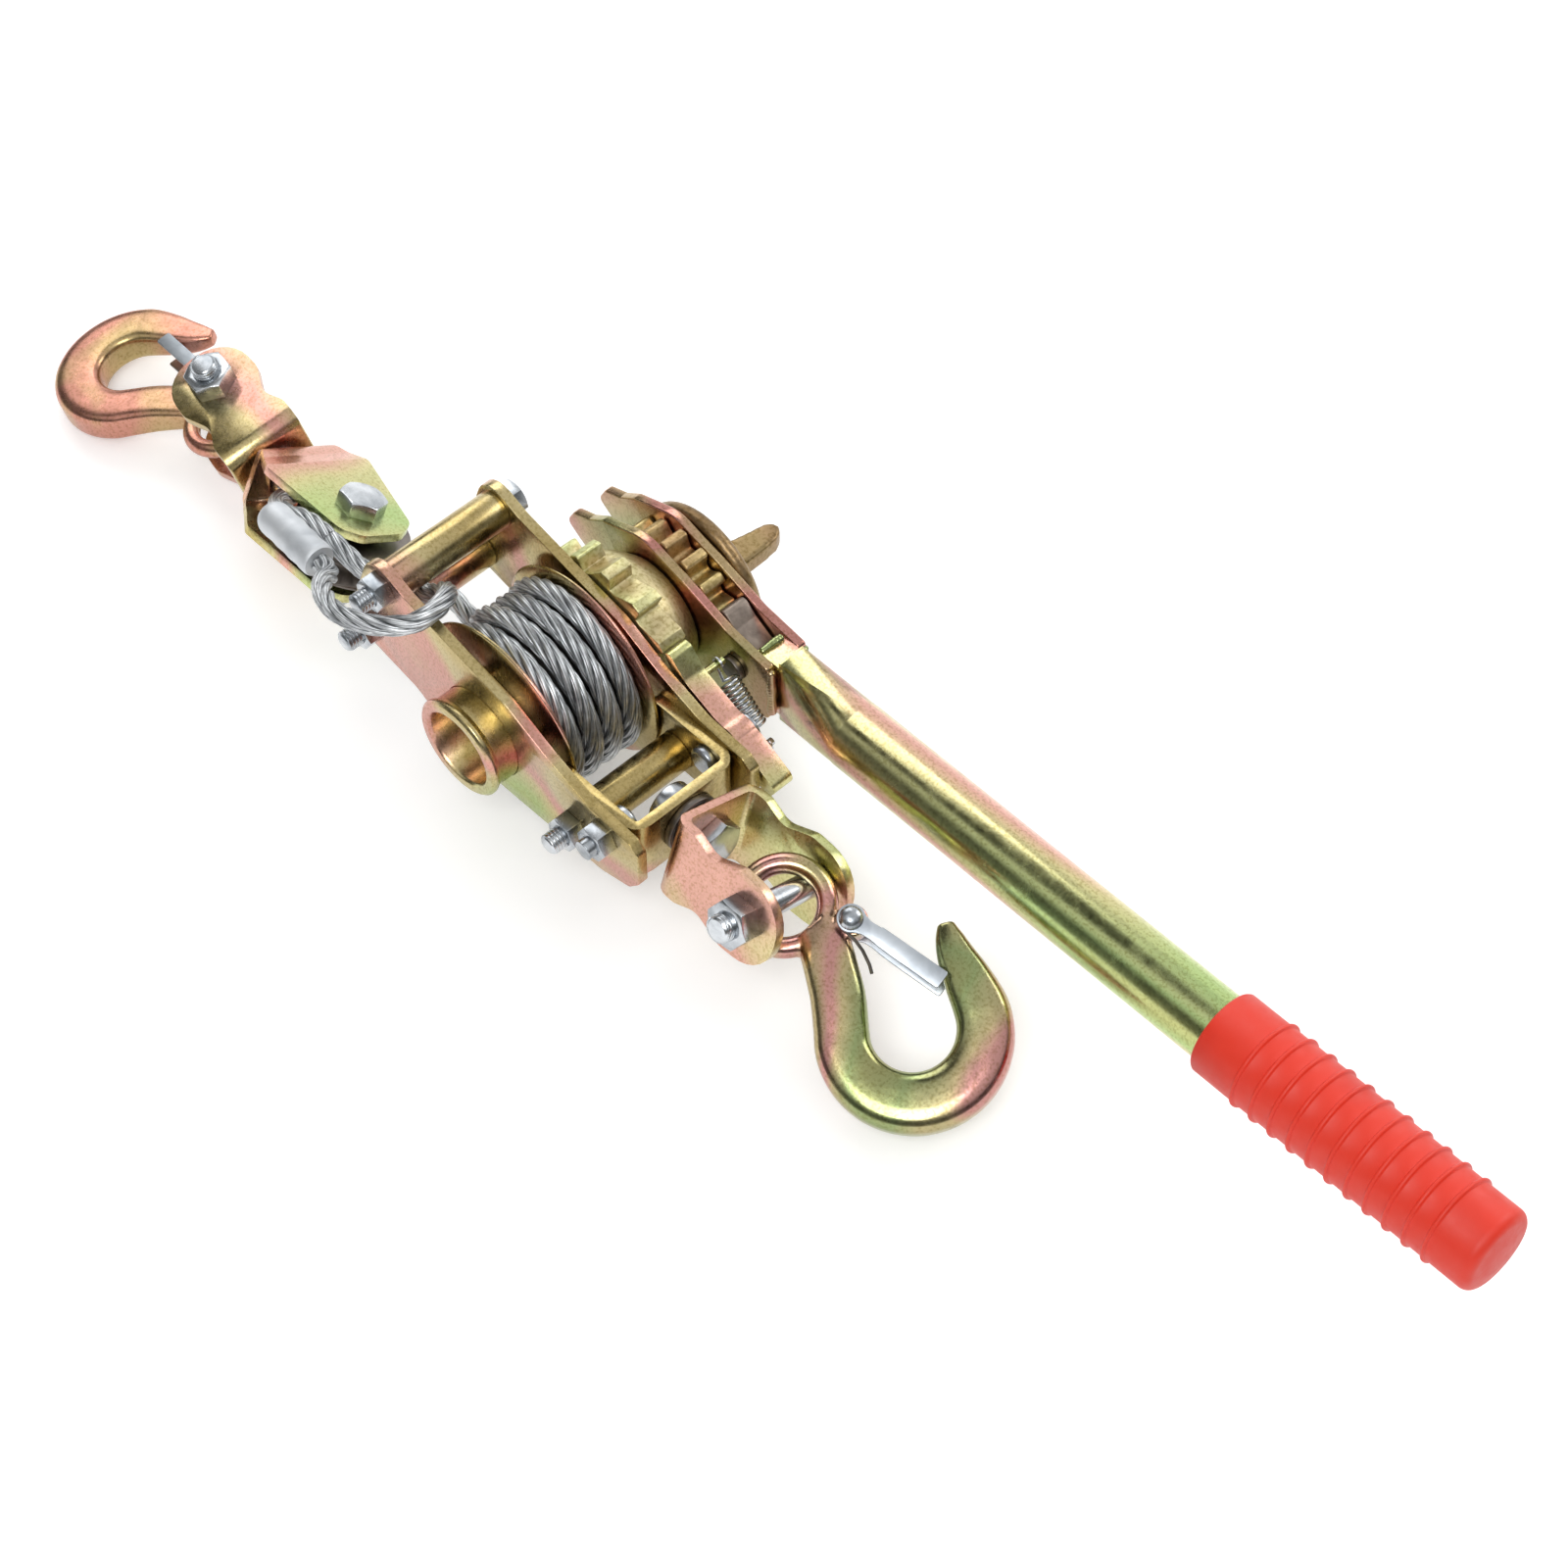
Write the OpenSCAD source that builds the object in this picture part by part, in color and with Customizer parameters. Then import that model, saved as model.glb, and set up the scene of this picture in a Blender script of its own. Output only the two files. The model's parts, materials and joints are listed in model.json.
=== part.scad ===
// Come along winch: ratchet drum between two plates, pumping handle, two
// swivel hooks, a sheave block and a loose wire rope.
// X runs along the pull, forward to the anchor hook; Y is the drum axis,
// plus Y to the ratchet side; Z is up. The origin is the middle of the drum.

/* [Frame] */
// Gap between the two side plates
frame_gap = 51; // [50:0.5:52]
// Thickness of a side plate
plate_t = 4.5; // [4:0.5:5]
// Thickness of the anchor bracket's strap
bracket_t = 4.4; // [3.5:0.1:4.4]
// Diameter of the frame's cross bolts
frame_bolt_d = 8; // [6:1:8]
// Outer diameter of the spacer tubes
spacer_d = 16; // [14:1:17]

/* [Drum] */
// Outer diameter of the drum tube
drum_tube_d = 39; // [37:1:40]
// Radius of the drum flanges
flange_r = 41; // [39:1:41]
// Diameter of the wire rope
rope_d = 8; // [7:0.5:8]
// Radius of the outer layer's rope centres
winding_r = 32.6; // [31:0.2:33]
// Strands side by side in the outer layer
winding_strands = 4; // [3:1:4]
// Number of ratchet teeth
ratchet_teeth = 14; // [12:1:16]
// Tip radius of the ratchet wheel
ratchet_r = 39; // [37:0.5:39]
// Number of drive gear teeth
gear_teeth = 16; // [14:1:18]
// Tip radius of the drive gear
gear_r = 30; // [28:0.5:30]

/* [Handle] */
// Thickness of a handle cheek
cheek_t = 4; // [3:0.5:4]
// Gap between the handle cheeks
cheek_gap = 12; // [11:0.5:12]
// Outer diameter of the handle tube
handle_d = 27; // [25:1:28]
// Distance from the drum axis to the grip's closed end
handle_reach = 404; // [380:2:420]
// Lift of the lever against the cheeks, in degrees
handle_lift = 0.8; // [0:0.1:1.2]
// Length of the grip
grip_len = 126; // [110:2:130]
// Thickness of the grip's wall between its ribs
grip_wall = 3.2; // [2.5:0.1:3.5]
// Number of raised ribs on the grip
grip_ribs = 11; // [8:1:12]

/* [Hooks] */
// Outer radius of a hook's bowl
bowl_r = 35.5; // [34:0.5:36]
// Diameter of the round bar of a hook's eye
eye_bar_d = 8; // [7:0.5:8]
// Diameter of the hook bolts
hook_bolt_d = 10; // [8:1:10]
// Distance from the front yoke's base to its hook bolt
front_reach = 41; // [40:1:44]
// Distance from the rear yoke's base to its hook bolt
rear_reach = 39; // [37:1:41]
// Radius of the front yoke's ears
front_ear_r = 16.9; // [16.5:0.2:17.1]
// Radius of the rear yoke's ears
rear_ear_r = 16.5; // [16:0.5:18]
// Size of the rear hook and its latch against the front ones
rear_hook_size = 0.88; // [0.84:0.01:0.9]

/* [Block] */
// Radius of the sheave
sheave_r = 23; // [21:0.5:23]
// Gap between the block's side plates
block_gap = 24; // [23:0.5:25]
// Distance from the sheave bolt to the block's web
block_len = 48; // [47:1:52]

/* [Hidden] */
$fn = 64;

// Finishes
gold = [0.80, 0.66, 0.36];
pink_gold = [0.85, 0.62, 0.47];
cast_gold = [0.66, 0.55, 0.30];
zinc = [0.80, 0.81, 0.83];
steel = [0.47, 0.44, 0.43];
rope_grey = [0.60, 0.61, 0.62];
grip_red = [0.90, 0.26, 0.16];
alloy = [0.84, 0.85, 0.86];

fit = 0.06;      // radial clearance of a running fit
hole_gap = 0.25; // radial clearance of a bolt hole
half_gap = frame_gap/2;
plate_out = half_gap + plate_t;

// Frame bolt places as X, Z
rear_upper = [-53, 36];
rear_lower = [-63.5, 5.5];
front_bolt = [49.5, -10.5];
bracket_bolt_at = [66, 0];
pawl_pivot = [66, 0];

// Stations along the drum axis
flange_in = 18.6;
flange_out = 20.6;
boss_end = -plate_out - 12.7;
ratchet_y = [31, 42.5];
dome_end = 56.4;
cheek_mid = 67;
near_cheek_y = [cheek_mid - cheek_gap/2 - cheek_t, cheek_mid - cheek_gap/2];
far_cheek_y = [cheek_mid + cheek_gap/2, cheek_mid + cheek_gap/2 + cheek_t];
gear_y = [cheek_mid - cheek_gap/2 + 0.6, cheek_mid + cheek_gap/2 - 0.6];
knob_y = far_cheek_y[1] + 0.5;
shaft_r = 14;
bore_r = 8;

// Front swivel: turned about X by its roll
swivel_z = -6;
web_front = 78.5;
front_roll = -19;
base_back = 86;
strap_t = 4;
ear_gap = 33;
ear_r = 20;
swivel_bolt_d = 12;

// Sheave block and hook poses
block_at = [-112.7, -1.7, -11.4];
block_roll = -28;
block_yaw = -9.4;

// ---------- general shapes ----------

// Outline with its corners rounded: each point is x, y, radius
function unit2(v) = v/norm(v);
function corner(a, b, c, steps) =
    let (
        p = [b[0], b[1]],
        u = unit2([a[0], a[1]] - p),
        v = unit2([c[0], c[1]] - p),
        half = acos(max(-1, min(1, u*v)))/2,
        cut = b[2]/tan(half),
        mid = p + unit2(u + v)*b[2]/sin(half),
        s = p + u*cut,
        e = p + v*cut,
        a0 = atan2(s[1] - mid[1], s[0] - mid[0]),
        a1r = atan2(e[1] - mid[1], e[0] - mid[0]),
        a1 = a1r - a0 > 180 ? a1r - 360 : a1r - a0 < -180 ? a1r + 360 : a1r
    )
    [for (i = [0:steps]) mid + b[2]*[cos(a0 + (a1 - a0)*i/steps), sin(a0 + (a1 - a0)*i/steps)]];
function rounded(pts, steps = 5) =
    let (n = len(pts))
    [for (i = [0:n - 1]) each corner(pts[(i + n - 1)%n], pts[i], pts[(i + 1)%n], steps)];

// Extrudes an X-Z outline along Y from y0 to y1
module side(y0, y1) {
    translate([0, y1, 0])
        rotate([90, 0, 0])
            linear_extrude(y1 - y0)
                children();
}

// Cylinder along Y from y0 to y1 at X, Z
module rod_y(at, y0, y1, r) {
    translate([at[0], y0, at[1]])
        rotate([-90, 0, 0])
            cylinder(r = r, h = y1 - y0);
}

// Tube of rotation about the Y axis from [radius, station] points
module turned_y(profile) {
    rotate([-90, 0, 0])
        rotate_extrude()
            polygon(profile);
}

// Hex bolt along +Z with its head under the origin
module hex_bolt(d, length, head_w, head_h) {
    cylinder(d = d, h = length - 0.8);
    translate([0, 0, length - 0.8])
        cylinder(d1 = d, d2 = d - 1.6, h = 0.8);
    intersection() {
        translate([0, 0, -head_h])
            cylinder(d = head_w/cos(30), h = head_h, $fn = 6);
        translate([0, 0, -head_h])
            cylinder(d1 = head_w*0.98, d2 = head_w*0.98 + 4*head_h, h = head_h);
    }
}

// Round-headed bolt along +Z with its head under the origin
module round_bolt(d, length, head_r, head_h) {
    cylinder(d = d, h = length);
    translate([0, 0, -head_h])
        cylinder(r1 = head_r - 1.2, r2 = head_r, h = 1.2);
    translate([0, 0, -head_h + 1.2])
        cylinder(r = head_r, h = head_h - 1.2);
}

// Hex nut from the origin up +Z
module hex_nut(d, width, height) {
    difference() {
        intersection() {
            cylinder(d = width/cos(30), h = height, $fn = 6);
            cylinder(d1 = width*0.98 + 4*height, d2 = width*0.98, h = height);
        }
        translate([0, 0, -1])
            cylinder(d = d + 0.1, h = height + 2);
    }
}

// Washer from the origin up +Z
module washer(inner_r, outer_r, height) {
    difference() {
        cylinder(r = outer_r, h = height);
        translate([0, 0, -1])
            cylinder(r = inner_r, h = height + 2);
    }
}

// Hollow spacer tube along Y
module spacer(at, y0, y1) {
    difference() {
        rod_y(at, y0, y1, spacer_d/2);
        rod_y(at, y0 - 1, y1 + 1, frame_bolt_d/2 + hole_gap);
    }
}

// Smooth route through hand-chosen points
function route_at(p, i, t) =
    let (
        n = len(p),
        a = p[max(i - 1, 0)],
        b = p[i],
        c = p[min(i + 1, n - 1)],
        d = p[min(i + 2, n - 1)]
    )
    0.5*((2*b) + (c - a)*t + (2*a - 5*b + 4*c - d)*t*t + (3*b - a - 3*c + d)*t*t*t);
function route(p, per) =
    [for (i = [0:len(p) - 2]) for (k = [0:per - 1]) route_at(p, i, k/per), p[len(p) - 1]];

// Tube along points: a frame is carried from ring to ring without twist
function unit(v) = v/norm(v);
function heading(p, i) = unit(p[min(i + 1, len(p) - 1)] - p[max(i - 1, 0)]);
function carried(u, t) = unit(u - (u*t)*t);
function sides_along(p, u, i = 0, done = []) =
    i == len(p) ? done
    : let (s = carried(i == 0 ? u : done[i - 1], heading(p, i)))
      sides_along(p, u, i + 1, concat(done, [s]));
module sweep(p, sizes, start_side, sides) {
    n = len(p);
    across = sides_along(p, start_side);
    points = [for (i = [0:n - 1])
        let (t = heading(p, i), u = across[i], v = cross(t, u))
        for (k = [0:sides - 1])
            p[i] + sizes[i][0]*cos(360*k/sides)*u + sizes[i][1]*sin(360*k/sides)*v];
    faces = concat(
        [[for (k = [0:sides - 1]) k]],
        [for (i = [0:n - 2]) for (k = [0:sides - 1])
            [i*sides + k, (i + 1)*sides + k, (i + 1)*sides + (k + 1)%sides, i*sides + (k + 1)%sides]],
        [[for (k = [sides - 1:-1:0]) (n - 1)*sides + k]]
    );
    polyhedron(points, faces, convexity = 10);
}
function same_size(p, r) = [for (q = p) [r, r]];
function route_length(p, i = 0) = i >= len(p) - 1 ? 0 : norm(p[i + 1] - p[i]) + route_length(p, i + 1);

// ---------- frame ----------

plate_outline = rounded([
    [-59.5, 49.3, 10], [-40, 41, 10], [-10, 34, 14], [14, 29, 14], [36, 18, 12],
    [58, 10, 14], [80, 8.5, 3], [84.5, 5, 2.5], [84.5, -12, 3], [79, -18.5, 4],
    [64, -23, 12], [-12, -25.5, 14], [-38, -9.5, 12], [-76.8, -1, 10]
]);

// Side plate with its cross bolt holes and the drum's hole
module plate(y0, drum_hole_r) {
    difference() {
        side(y0, y0 + plate_t)
            polygon(plate_outline);
        for (at = [rear_upper, rear_lower, front_bolt, bracket_bolt_at])
            rod_y(at, y0 - 1, y0 + plate_t + 1, frame_bolt_d/2 + hole_gap);
        rod_y([0, 0], y0 - 1, y0 + plate_t + 1, drum_hole_r);
    }
}

module near_plate() {
    color(gold) plate(-plate_out, drum_tube_d/2 + fit);
}

module far_plate() {
    color(gold) plate(half_gap, drum_tube_d/2 + fit);
}

module rear_upper_spacer() {
    color(gold) spacer(rear_upper, -half_gap, half_gap);
}

module rear_lower_spacer() {
    color(gold) spacer(rear_lower, -half_gap, half_gap);
}

leg_in = half_gap - bracket_t;
module front_spacer() {
    color(gold) spacer(front_bolt, -leg_in, leg_in);
}

// U bracket: two legs against the plates and a web across the front
leg_start = 34;
bracket_outline = rounded([
    [leg_start, -17, 6], [leg_start, 7.5, 5], [web_front + 1, 7.5, 0.6], [web_front + 1, -20, 0.6],
    [54, -20, 10]
]);
module anchor_bracket() {
    color(gold) difference() {
        intersection() {
            translate([0, 0, -30])
                linear_extrude(60)
                    difference() {
                        polygon(rounded([
                            [leg_start - 2, -half_gap, 0.2], [web_front, -half_gap, 8],
                            [web_front, half_gap, 8], [leg_start - 2, half_gap, 0.2]
                        ]));
                        polygon(rounded([
                            [leg_start - 4, -leg_in, 0.2], [web_front - bracket_t, -leg_in, 1.8],
                            [web_front - bracket_t, leg_in, 1.8], [leg_start - 4, leg_in, 0.2]
                        ]));
                    }
            side(-half_gap - 1, half_gap + 1)
                polygon(bracket_outline);
        }
        for (at = [front_bolt, bracket_bolt_at])
            rod_y(at, -half_gap - 1, half_gap + 1, frame_bolt_d/2 + hole_gap);
        translate([web_front - 10, 0, swivel_z])
            rotate([0, 90, 0])
                cylinder(d = swivel_bolt_d + 2*fit, h = 20);
    }
}

// Hex sizes of the frame bolts
m8_hex = 13;
m8_head = 5.3;
m8_nut = 6.5;
bolt_over = 6.5;

// Cross bolt with its head against the far plate
module cross_bolt(at) {
    translate([at[0], plate_out, at[1]])
        rotate([90, 0, 0])
            hex_bolt(frame_bolt_d, 2*plate_out + m8_nut + bolt_over, m8_hex, m8_head);
}

module frame_bolts() {
    color(zinc) {
        cross_bolt(rear_upper);
        cross_bolt(rear_lower);
        cross_bolt(front_bolt);
    }
}

module frame_nuts() {
    color(zinc)
        for (at = [rear_upper, rear_lower, front_bolt, bracket_bolt_at])
            translate([at[0], -plate_out, at[1]])
                rotate([90, 0, 0])
                    hex_nut(frame_bolt_d, m8_hex, m8_nut);
}

// Short bolt through the near leg and the near plate, head inside
module bracket_bolt() {
    color(zinc)
        translate([bracket_bolt_at[0], -leg_in, bracket_bolt_at[1]])
            rotate([90, 0, 0])
                round_bolt(frame_bolt_d, plate_out - leg_in + m8_nut + 3.5, 6, 3.6);
}

// Shoulder bolt through the far leg and plate that carries the frame pawl
pawl_y = [31, 40.5];
module pawl_pivot_bolt() {
    color(zinc) {
        translate([pawl_pivot[0], leg_in, pawl_pivot[1]])
            rotate([-90, 0, 0])
                round_bolt(frame_bolt_d, pawl_y[1] + 2 - leg_in, 6, 3.6);
        rod_y(pawl_pivot, pawl_y[1] + 0.3, pawl_y[1] + 2, 6.2);
    }
}

module swivel_washer() {
    color(steel)
        translate([web_front, 0, swivel_z])
            rotate([0, 90, 0])
                washer(swivel_bolt_d/2 + fit, 12, 3.2);
}

// ---------- drum ----------

// Hollow drum tube with a rolled rim at its open end, and a shoulder inside
// for the shaft
shaft_end = 20;
shaft_end_r = 14.8;
module drum_tube() {
    color(gold) turned_y([
        [15.5, boss_end + 1.5], [16.4, boss_end], [19.6, boss_end], [20.8, boss_end + 1.2],
        [20.8, boss_end + 2.6], [drum_tube_d/2, boss_end + 4.4], [drum_tube_d/2, 30.8],
        [shaft_end_r, 30.8], [shaft_end_r, shaft_end], [15.5, shaft_end]
    ]);
}

// Thin dished flange; s is -1 for the near one
module flange(s) {
    color(gold) rotate([-90, 0, 0]) rotate_extrude() polygon([
        [drum_tube_d/2, s*flange_in], [33, s*flange_in], [flange_r - 1, s*(flange_out - 1.6)],
        [flange_r, s*(flange_out - 0.9)], [flange_r - 0.6, s*flange_out],
        [33, s*(flange_in + 1.8)], [drum_tube_d/2, s*(flange_in + 1.8)]
    ]);
}

module near_flange() {
    flange(-1);
}

module far_flange() {
    flange(1);
}

// Saw teeth: each ramps out clockwise and drops on its clockwise face
ratchet_root = 33;
ratchet_turn = 6;
ratchet_outline = [for (i = [0:ratchet_teeth - 1])
    let (a = ratchet_turn + 360/ratchet_teeth*i, p = 360/ratchet_teeth)
    each [
        for (k = [[0.04, ratchet_root], [0.08, ratchet_r - 0.5], [0.12, ratchet_r],
                  [0.34, ratchet_r], [0.62, ratchet_root + 2.2], [0.86, ratchet_root]])
            [k[1]*cos(a + p*k[0]), k[1]*sin(a + p*k[0])]
    ]];

// Ratchet wheel with its domed hub
module ratchet_wheel() {
    color(cast_gold) difference() {
        union() {
            side(ratchet_y[0], ratchet_y[1])
                polygon(ratchet_outline);
            turned_y([
                [0, ratchet_y[1] - 1], [32, ratchet_y[1] - 1], [32, ratchet_y[1] + 1.5],
                [31, ratchet_y[1] + 4.5], [28.6, ratchet_y[1] + 8], [25.4, dome_end - 2.4],
                [23, dome_end], [0, dome_end]
            ]);
        }
        rod_y([0, 0], ratchet_y[0] - 1, dome_end + 1, shaft_r);
    }
}

// Spur gear teeth with flat tips and straight flanks
gear_root = gear_r - 6;
gear_turn = 11;
gear_outline = [for (i = [0:gear_teeth - 1])
    let (a = gear_turn + 360/gear_teeth*i, p = 360/gear_teeth)
    each [
        for (k = [[0.00, gear_root], [0.24, gear_root], [0.34, gear_root + 2], [0.43, gear_r - 0.8],
                  [0.48, gear_r], [0.76, gear_r], [0.81, gear_r - 0.8], [0.90, gear_root + 2]])
            [k[1]*cos(a + p*k[0]), k[1]*sin(a + p*k[0])]
    ]];
module drive_gear() {
    color(cast_gold) difference() {
        side(gear_y[0], gear_y[1])
            polygon(gear_outline);
        rod_y([0, 0], gear_y[0] - 1, gear_y[1] + 1, shaft_r);
    }
}

// Hollow shaft that joins the wheel, the gear and the knob to the drum
module drum_shaft() {
    color(steel) turned_y([
        [bore_r, shaft_end], [shaft_end_r, shaft_end], [shaft_end_r, 30.9], [shaft_r, 30.9], [shaft_r, knob_y], [bore_r, knob_y]
    ]);
}

// Cast disc with a fin for turning the drum by hand
fin_tip = 113;
module wing_knob() {
    color(cast_gold) {
        turned_y([
            [0, knob_y], [29.4, knob_y], [31, knob_y + 1.6], [31, knob_y + 4], [29.6, knob_y + 5.8],
            [17, knob_y + 8.4], [0, knob_y + 8.4]
        ]);
        translate([0, 0, -4.5])
            linear_extrude(9)
                polygon(rounded([
                    [-8, knob_y + 4, 1], [-6, knob_y + 11, 5], [-3.5, fin_tip, 5.5], [12, fin_tip, 6.5],
                    [15.5, knob_y + 14, 6], [22, knob_y + 6, 4], [22, knob_y + 4, 0.8]
                ]));
    }
}

// Rope under the outer layer, as one plain ring
core_r = winding_r - rope_d/2 - 0.2;
module rope_core() {
    color(rope_grey) turned_y([
        [drum_tube_d/2, -flange_in + 0.2], [core_r, -flange_in + 0.2],
        [core_r, flange_in - 0.2], [drum_tube_d/2, flange_in - 0.2]
    ]);
}

// Outer layer: side by side turns that step over behind the drum, where the
// last one leaves the drum's bottom rearward
loop_rings = 24;
winding_side = 0.4;
step_from = 0.80;
step_to = 0.98;
winding_start = -175;
winding_turns = winding_strands + (winding_start + 90)/360;
winding_pitch = (2*flange_in - rope_d - 2*winding_side)/(winding_strands - 1);
function eased(t) = t <= 0 ? 0 : t >= 1 ? 1 : t*t*(3 - 2*t);
function strand_at(t) =
    min(winding_strands - 1, floor(t) + eased((t - floor(t) - step_from)/(step_to - step_from)));
winding_y0 = -flange_in + rope_d/2 + winding_side;
winding_rings = ceil(loop_rings*winding_turns);
tail = 17;
winding_path = concat(
    [for (k = [0:winding_rings])
        let (t = winding_turns*k/winding_rings, a = winding_start - 360*t)
        [winding_r*cos(a), winding_y0 + winding_pitch*strand_at(t), winding_r*sin(a)]],
    [[-rope_d, winding_y0 + winding_pitch*(winding_strands - 1), -winding_r],
     [-tail, winding_y0 + winding_pitch*(winding_strands - 1), -winding_r]]
);
module rope_winding() {
    echo(least_gap = winding_pitch - rope_d);
    color(rope_grey)
        sweep(winding_path, same_size(winding_path, rope_d/2), [0, 1, 0], 6);
}

// ---------- handle ----------

handle_pivot = [gear_r + 12.5, 1.5];
tube_in = handle_pivot[0] + 8;
cheek_outline = rounded([
    [tube_in + 9.5, 14.5, 2], [38, 17.5, 12], [14, 26, 14], [-8, 32, 18], [-30, 23.5, 8], [-38, 17.5, 5],
    [-47, 14, 3.5], [-51, 6.5, 3], [-44.5, 1.5, 3], [-36, -4, 5], [-30, -17, 12], [-8, -32, 18],
    [14, -29.5, 14], [38, -19, 12], [tube_in + 9.5, -14.5, 2]
]);

module cheek(y) {
    color(pink_gold) difference() {
        side(y[0], y[1])
            polygon(cheek_outline);
        rod_y([0, 0], y[0] - 1, y[1] + 1, shaft_r + fit);
        rod_y(handle_pivot, y[0] - 1, y[1] + 1, 4.05);
    }
}

module near_cheek() {
    cheek(near_cheek_y);
}

module far_cheek() {
    cheek(far_cheek_y);
}

// Lever tube: flattened where it is welded in between the cheeks
tube_round = 96;
tube_wall = 2.2;
module at_lever() {
    translate([0, cheek_mid, 0])
        rotate([0, -handle_lift, 0])
            children();
}
module tube_end(r, flat, shift) {
    hull() {
        translate([tube_in + 12 + shift, 0, 0])
            cube([1, flat, 2*r + 6], center = true);
        translate([tube_round, 0, 0])
            rotate([0, 90, 0])
                cylinder(r = r, h = 1, $fn = 32);
    }
}
module handle_tube() {
    color(gold)
        at_lever()
            difference() {
                union() {
                    tube_end(handle_d/2 - 0.15, cheek_gap, 0);
                    translate([tube_in, -cheek_gap/2, -13.6])
                        cube([13, cheek_gap, 27.2]);
                    translate([tube_round + 0.5, 0, 0])
                        rotate([0, 90, 0])
                            cylinder(r = handle_d/2, h = handle_reach - tube_round - 4.5);
                }
                tube_end(handle_d/2 - tube_wall - 0.15, cheek_gap - 2*tube_wall, 1);
                translate([tube_round + 0.4, 0, 0])
                    rotate([0, 90, 0])
                        cylinder(r = handle_d/2 - tube_wall, h = handle_reach);
            }
}

// Soft grip with raised rings and a closed end
grip_d = handle_d + 2*grip_wall;
grip_start = handle_reach - grip_len;
rib_pitch = 8.6;
rib_first = (grip_len - (grip_ribs - 1)*rib_pitch)/2;
module handle_grip() {
    color(grip_red)
        at_lever()
            rotate([0, 90, 0])
                rotate_extrude()
                    polygon(concat(
                        [[0, handle_reach], [0, handle_reach - 3.8], [handle_d/2, handle_reach - 3.8],
                         [handle_d/2, grip_start], [grip_d/2 - 1, grip_start],
                         [grip_d/2, grip_start + 1]],
                        [for (i = [0:grip_ribs - 1])
                            let (s = grip_start + rib_first + rib_pitch*i)
                            each [[grip_d/2, s - 2.4], [grip_d/2 + 1.2, s - 1.3],
                                  [grip_d/2 + 1.2, s + 1.3], [grip_d/2, s + 2.4]]],
                        [[grip_d/2, handle_reach - 3], [grip_d/2 - 3, handle_reach]]
                    ));
}

module handle_pawl_pin() {
    color(steel) {
        rod_y(handle_pivot, near_cheek_y[0] - 1.6, far_cheek_y[1] + 1.6, 4);
        rod_y(handle_pivot, near_cheek_y[0] - 2.6, near_cheek_y[0], 5.4);
        rod_y(handle_pivot, far_cheek_y[1], far_cheek_y[1] + 2.6, 5.4);
    }
}

// Handle pawl: a block whose nose stands clear of the gear's tips
module handle_pawl() {
    color(steel) difference() {
        side(gear_y[0], gear_y[1])
            polygon(rounded([
                [gear_r - 3, 14.6, 1], [gear_r + 1.5, 20.5, 2.5], [gear_r + 8, 14.5, 4],
                [tube_in - 2.3, 8.5, 2.5], [tube_in - 2.3, -4, 4],
                [gear_r + 10, -6.5, 4], [gear_r + 4.5, 2, 4]
            ]));
        rod_y(handle_pivot, gear_y[0] - 1, gear_y[1] + 1, 4 + fit);
    }
}

// Frame pawl: a cast lever with a nose at the ratchet and a thumb tail
module frame_pawl() {
    color(cast_gold) difference() {
        union() {
            side(pawl_y[0], pawl_y[1])
                polygon(rounded([
                    [32.2, 23.4, 1.5], [36.5, 24, 3], [44, 15.5, 6], [60, 8.6, 8], [74, 5.2, 8],
                    [92, -4.5, 3.5], [88.5, -11.5, 3.5], [72, -5, 8], [58, -4.2, 8], [42, 6, 6]
                ]));
            rod_y(pawl_pivot, pawl_y[0], pawl_y[1], 8);
            rod_y(spring_pin, pawl_y[0], spring_y + 2.4, pin_r);
        }
        rod_y(pawl_pivot, pawl_y[0] - 1, pawl_y[1] + 1, frame_bolt_d/2 + fit);
    }
}

// Extension spring from the pin on the pawl to a post on the far plate
spring_wire = 1.2;
spring_r = 3.9;
spring_curls = 11;
spring_pitch = 1.9;
spring_y = 47.6;
spring_pin = [43.5, 12.2];
spring_post_at = [70, -11.4];
pin_r = 1.6;
hook_r = pin_r + spring_wire/2 + 0.3;
spring_a = [spring_pin[0], spring_y, spring_pin[1]];
spring_b = [spring_post_at[0], spring_y, spring_post_at[1]];
spring_dir = unit(spring_b - spring_a);
spring_up = [spring_dir[2], 0, -spring_dir[0]];
spring_from = (spring_a + spring_b)/2 - spring_dir*spring_curls*spring_pitch/2;
function around(c, k) = c + hook_r*(cos(k)*spring_dir + sin(k)*spring_up);
spring_path = concat(
    [for (k = [-60:-40:-300]) around(spring_a, k)],
    [for (k = [0:spring_curls*8])
        spring_from + spring_dir*spring_pitch*k/8
            + spring_r*(sin(45*k)*[0, 1, 0] + cos(45*k)*spring_up)],
    [for (k = [120:-40:-120]) around(spring_b, k)]
);
module pawl_spring() {
    echo(spring_gap = spring_pitch - spring_wire);
    color(zinc)
        sweep(spring_path, same_size(spring_path, spring_wire/2), [0, 1, 0], 6);
}

module spring_post() {
    color(zinc) {
        rod_y(spring_post_at, plate_out, spring_y + 2.4, pin_r);
        rod_y(spring_post_at, plate_out, plate_out + 2.5, 3.2);
    }
}

// ---------- hooks, shared by both ends ----------

// Side outline of a yoke ear, from the base forward: a waist, then a round
yoke_base = 33;
yoke_waist = 27;
function ear_outline(reach, r) = rounded([
    [0.2, -yoke_base/2, 0.8], [11, -yoke_base/2, 7], [reach*0.52, -yoke_waist/2 + 1, 9],
    [reach - 6, -r - 1, 9], [reach + r, -r, r - 0.6],
    [reach + r, r, r - 0.6], [reach - 6, r + 1, 9],
    [reach*0.52, yoke_waist/2 - 1, 9], [11, yoke_base/2, 7], [0.2, yoke_base/2, 0.8]
], 7);

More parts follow.
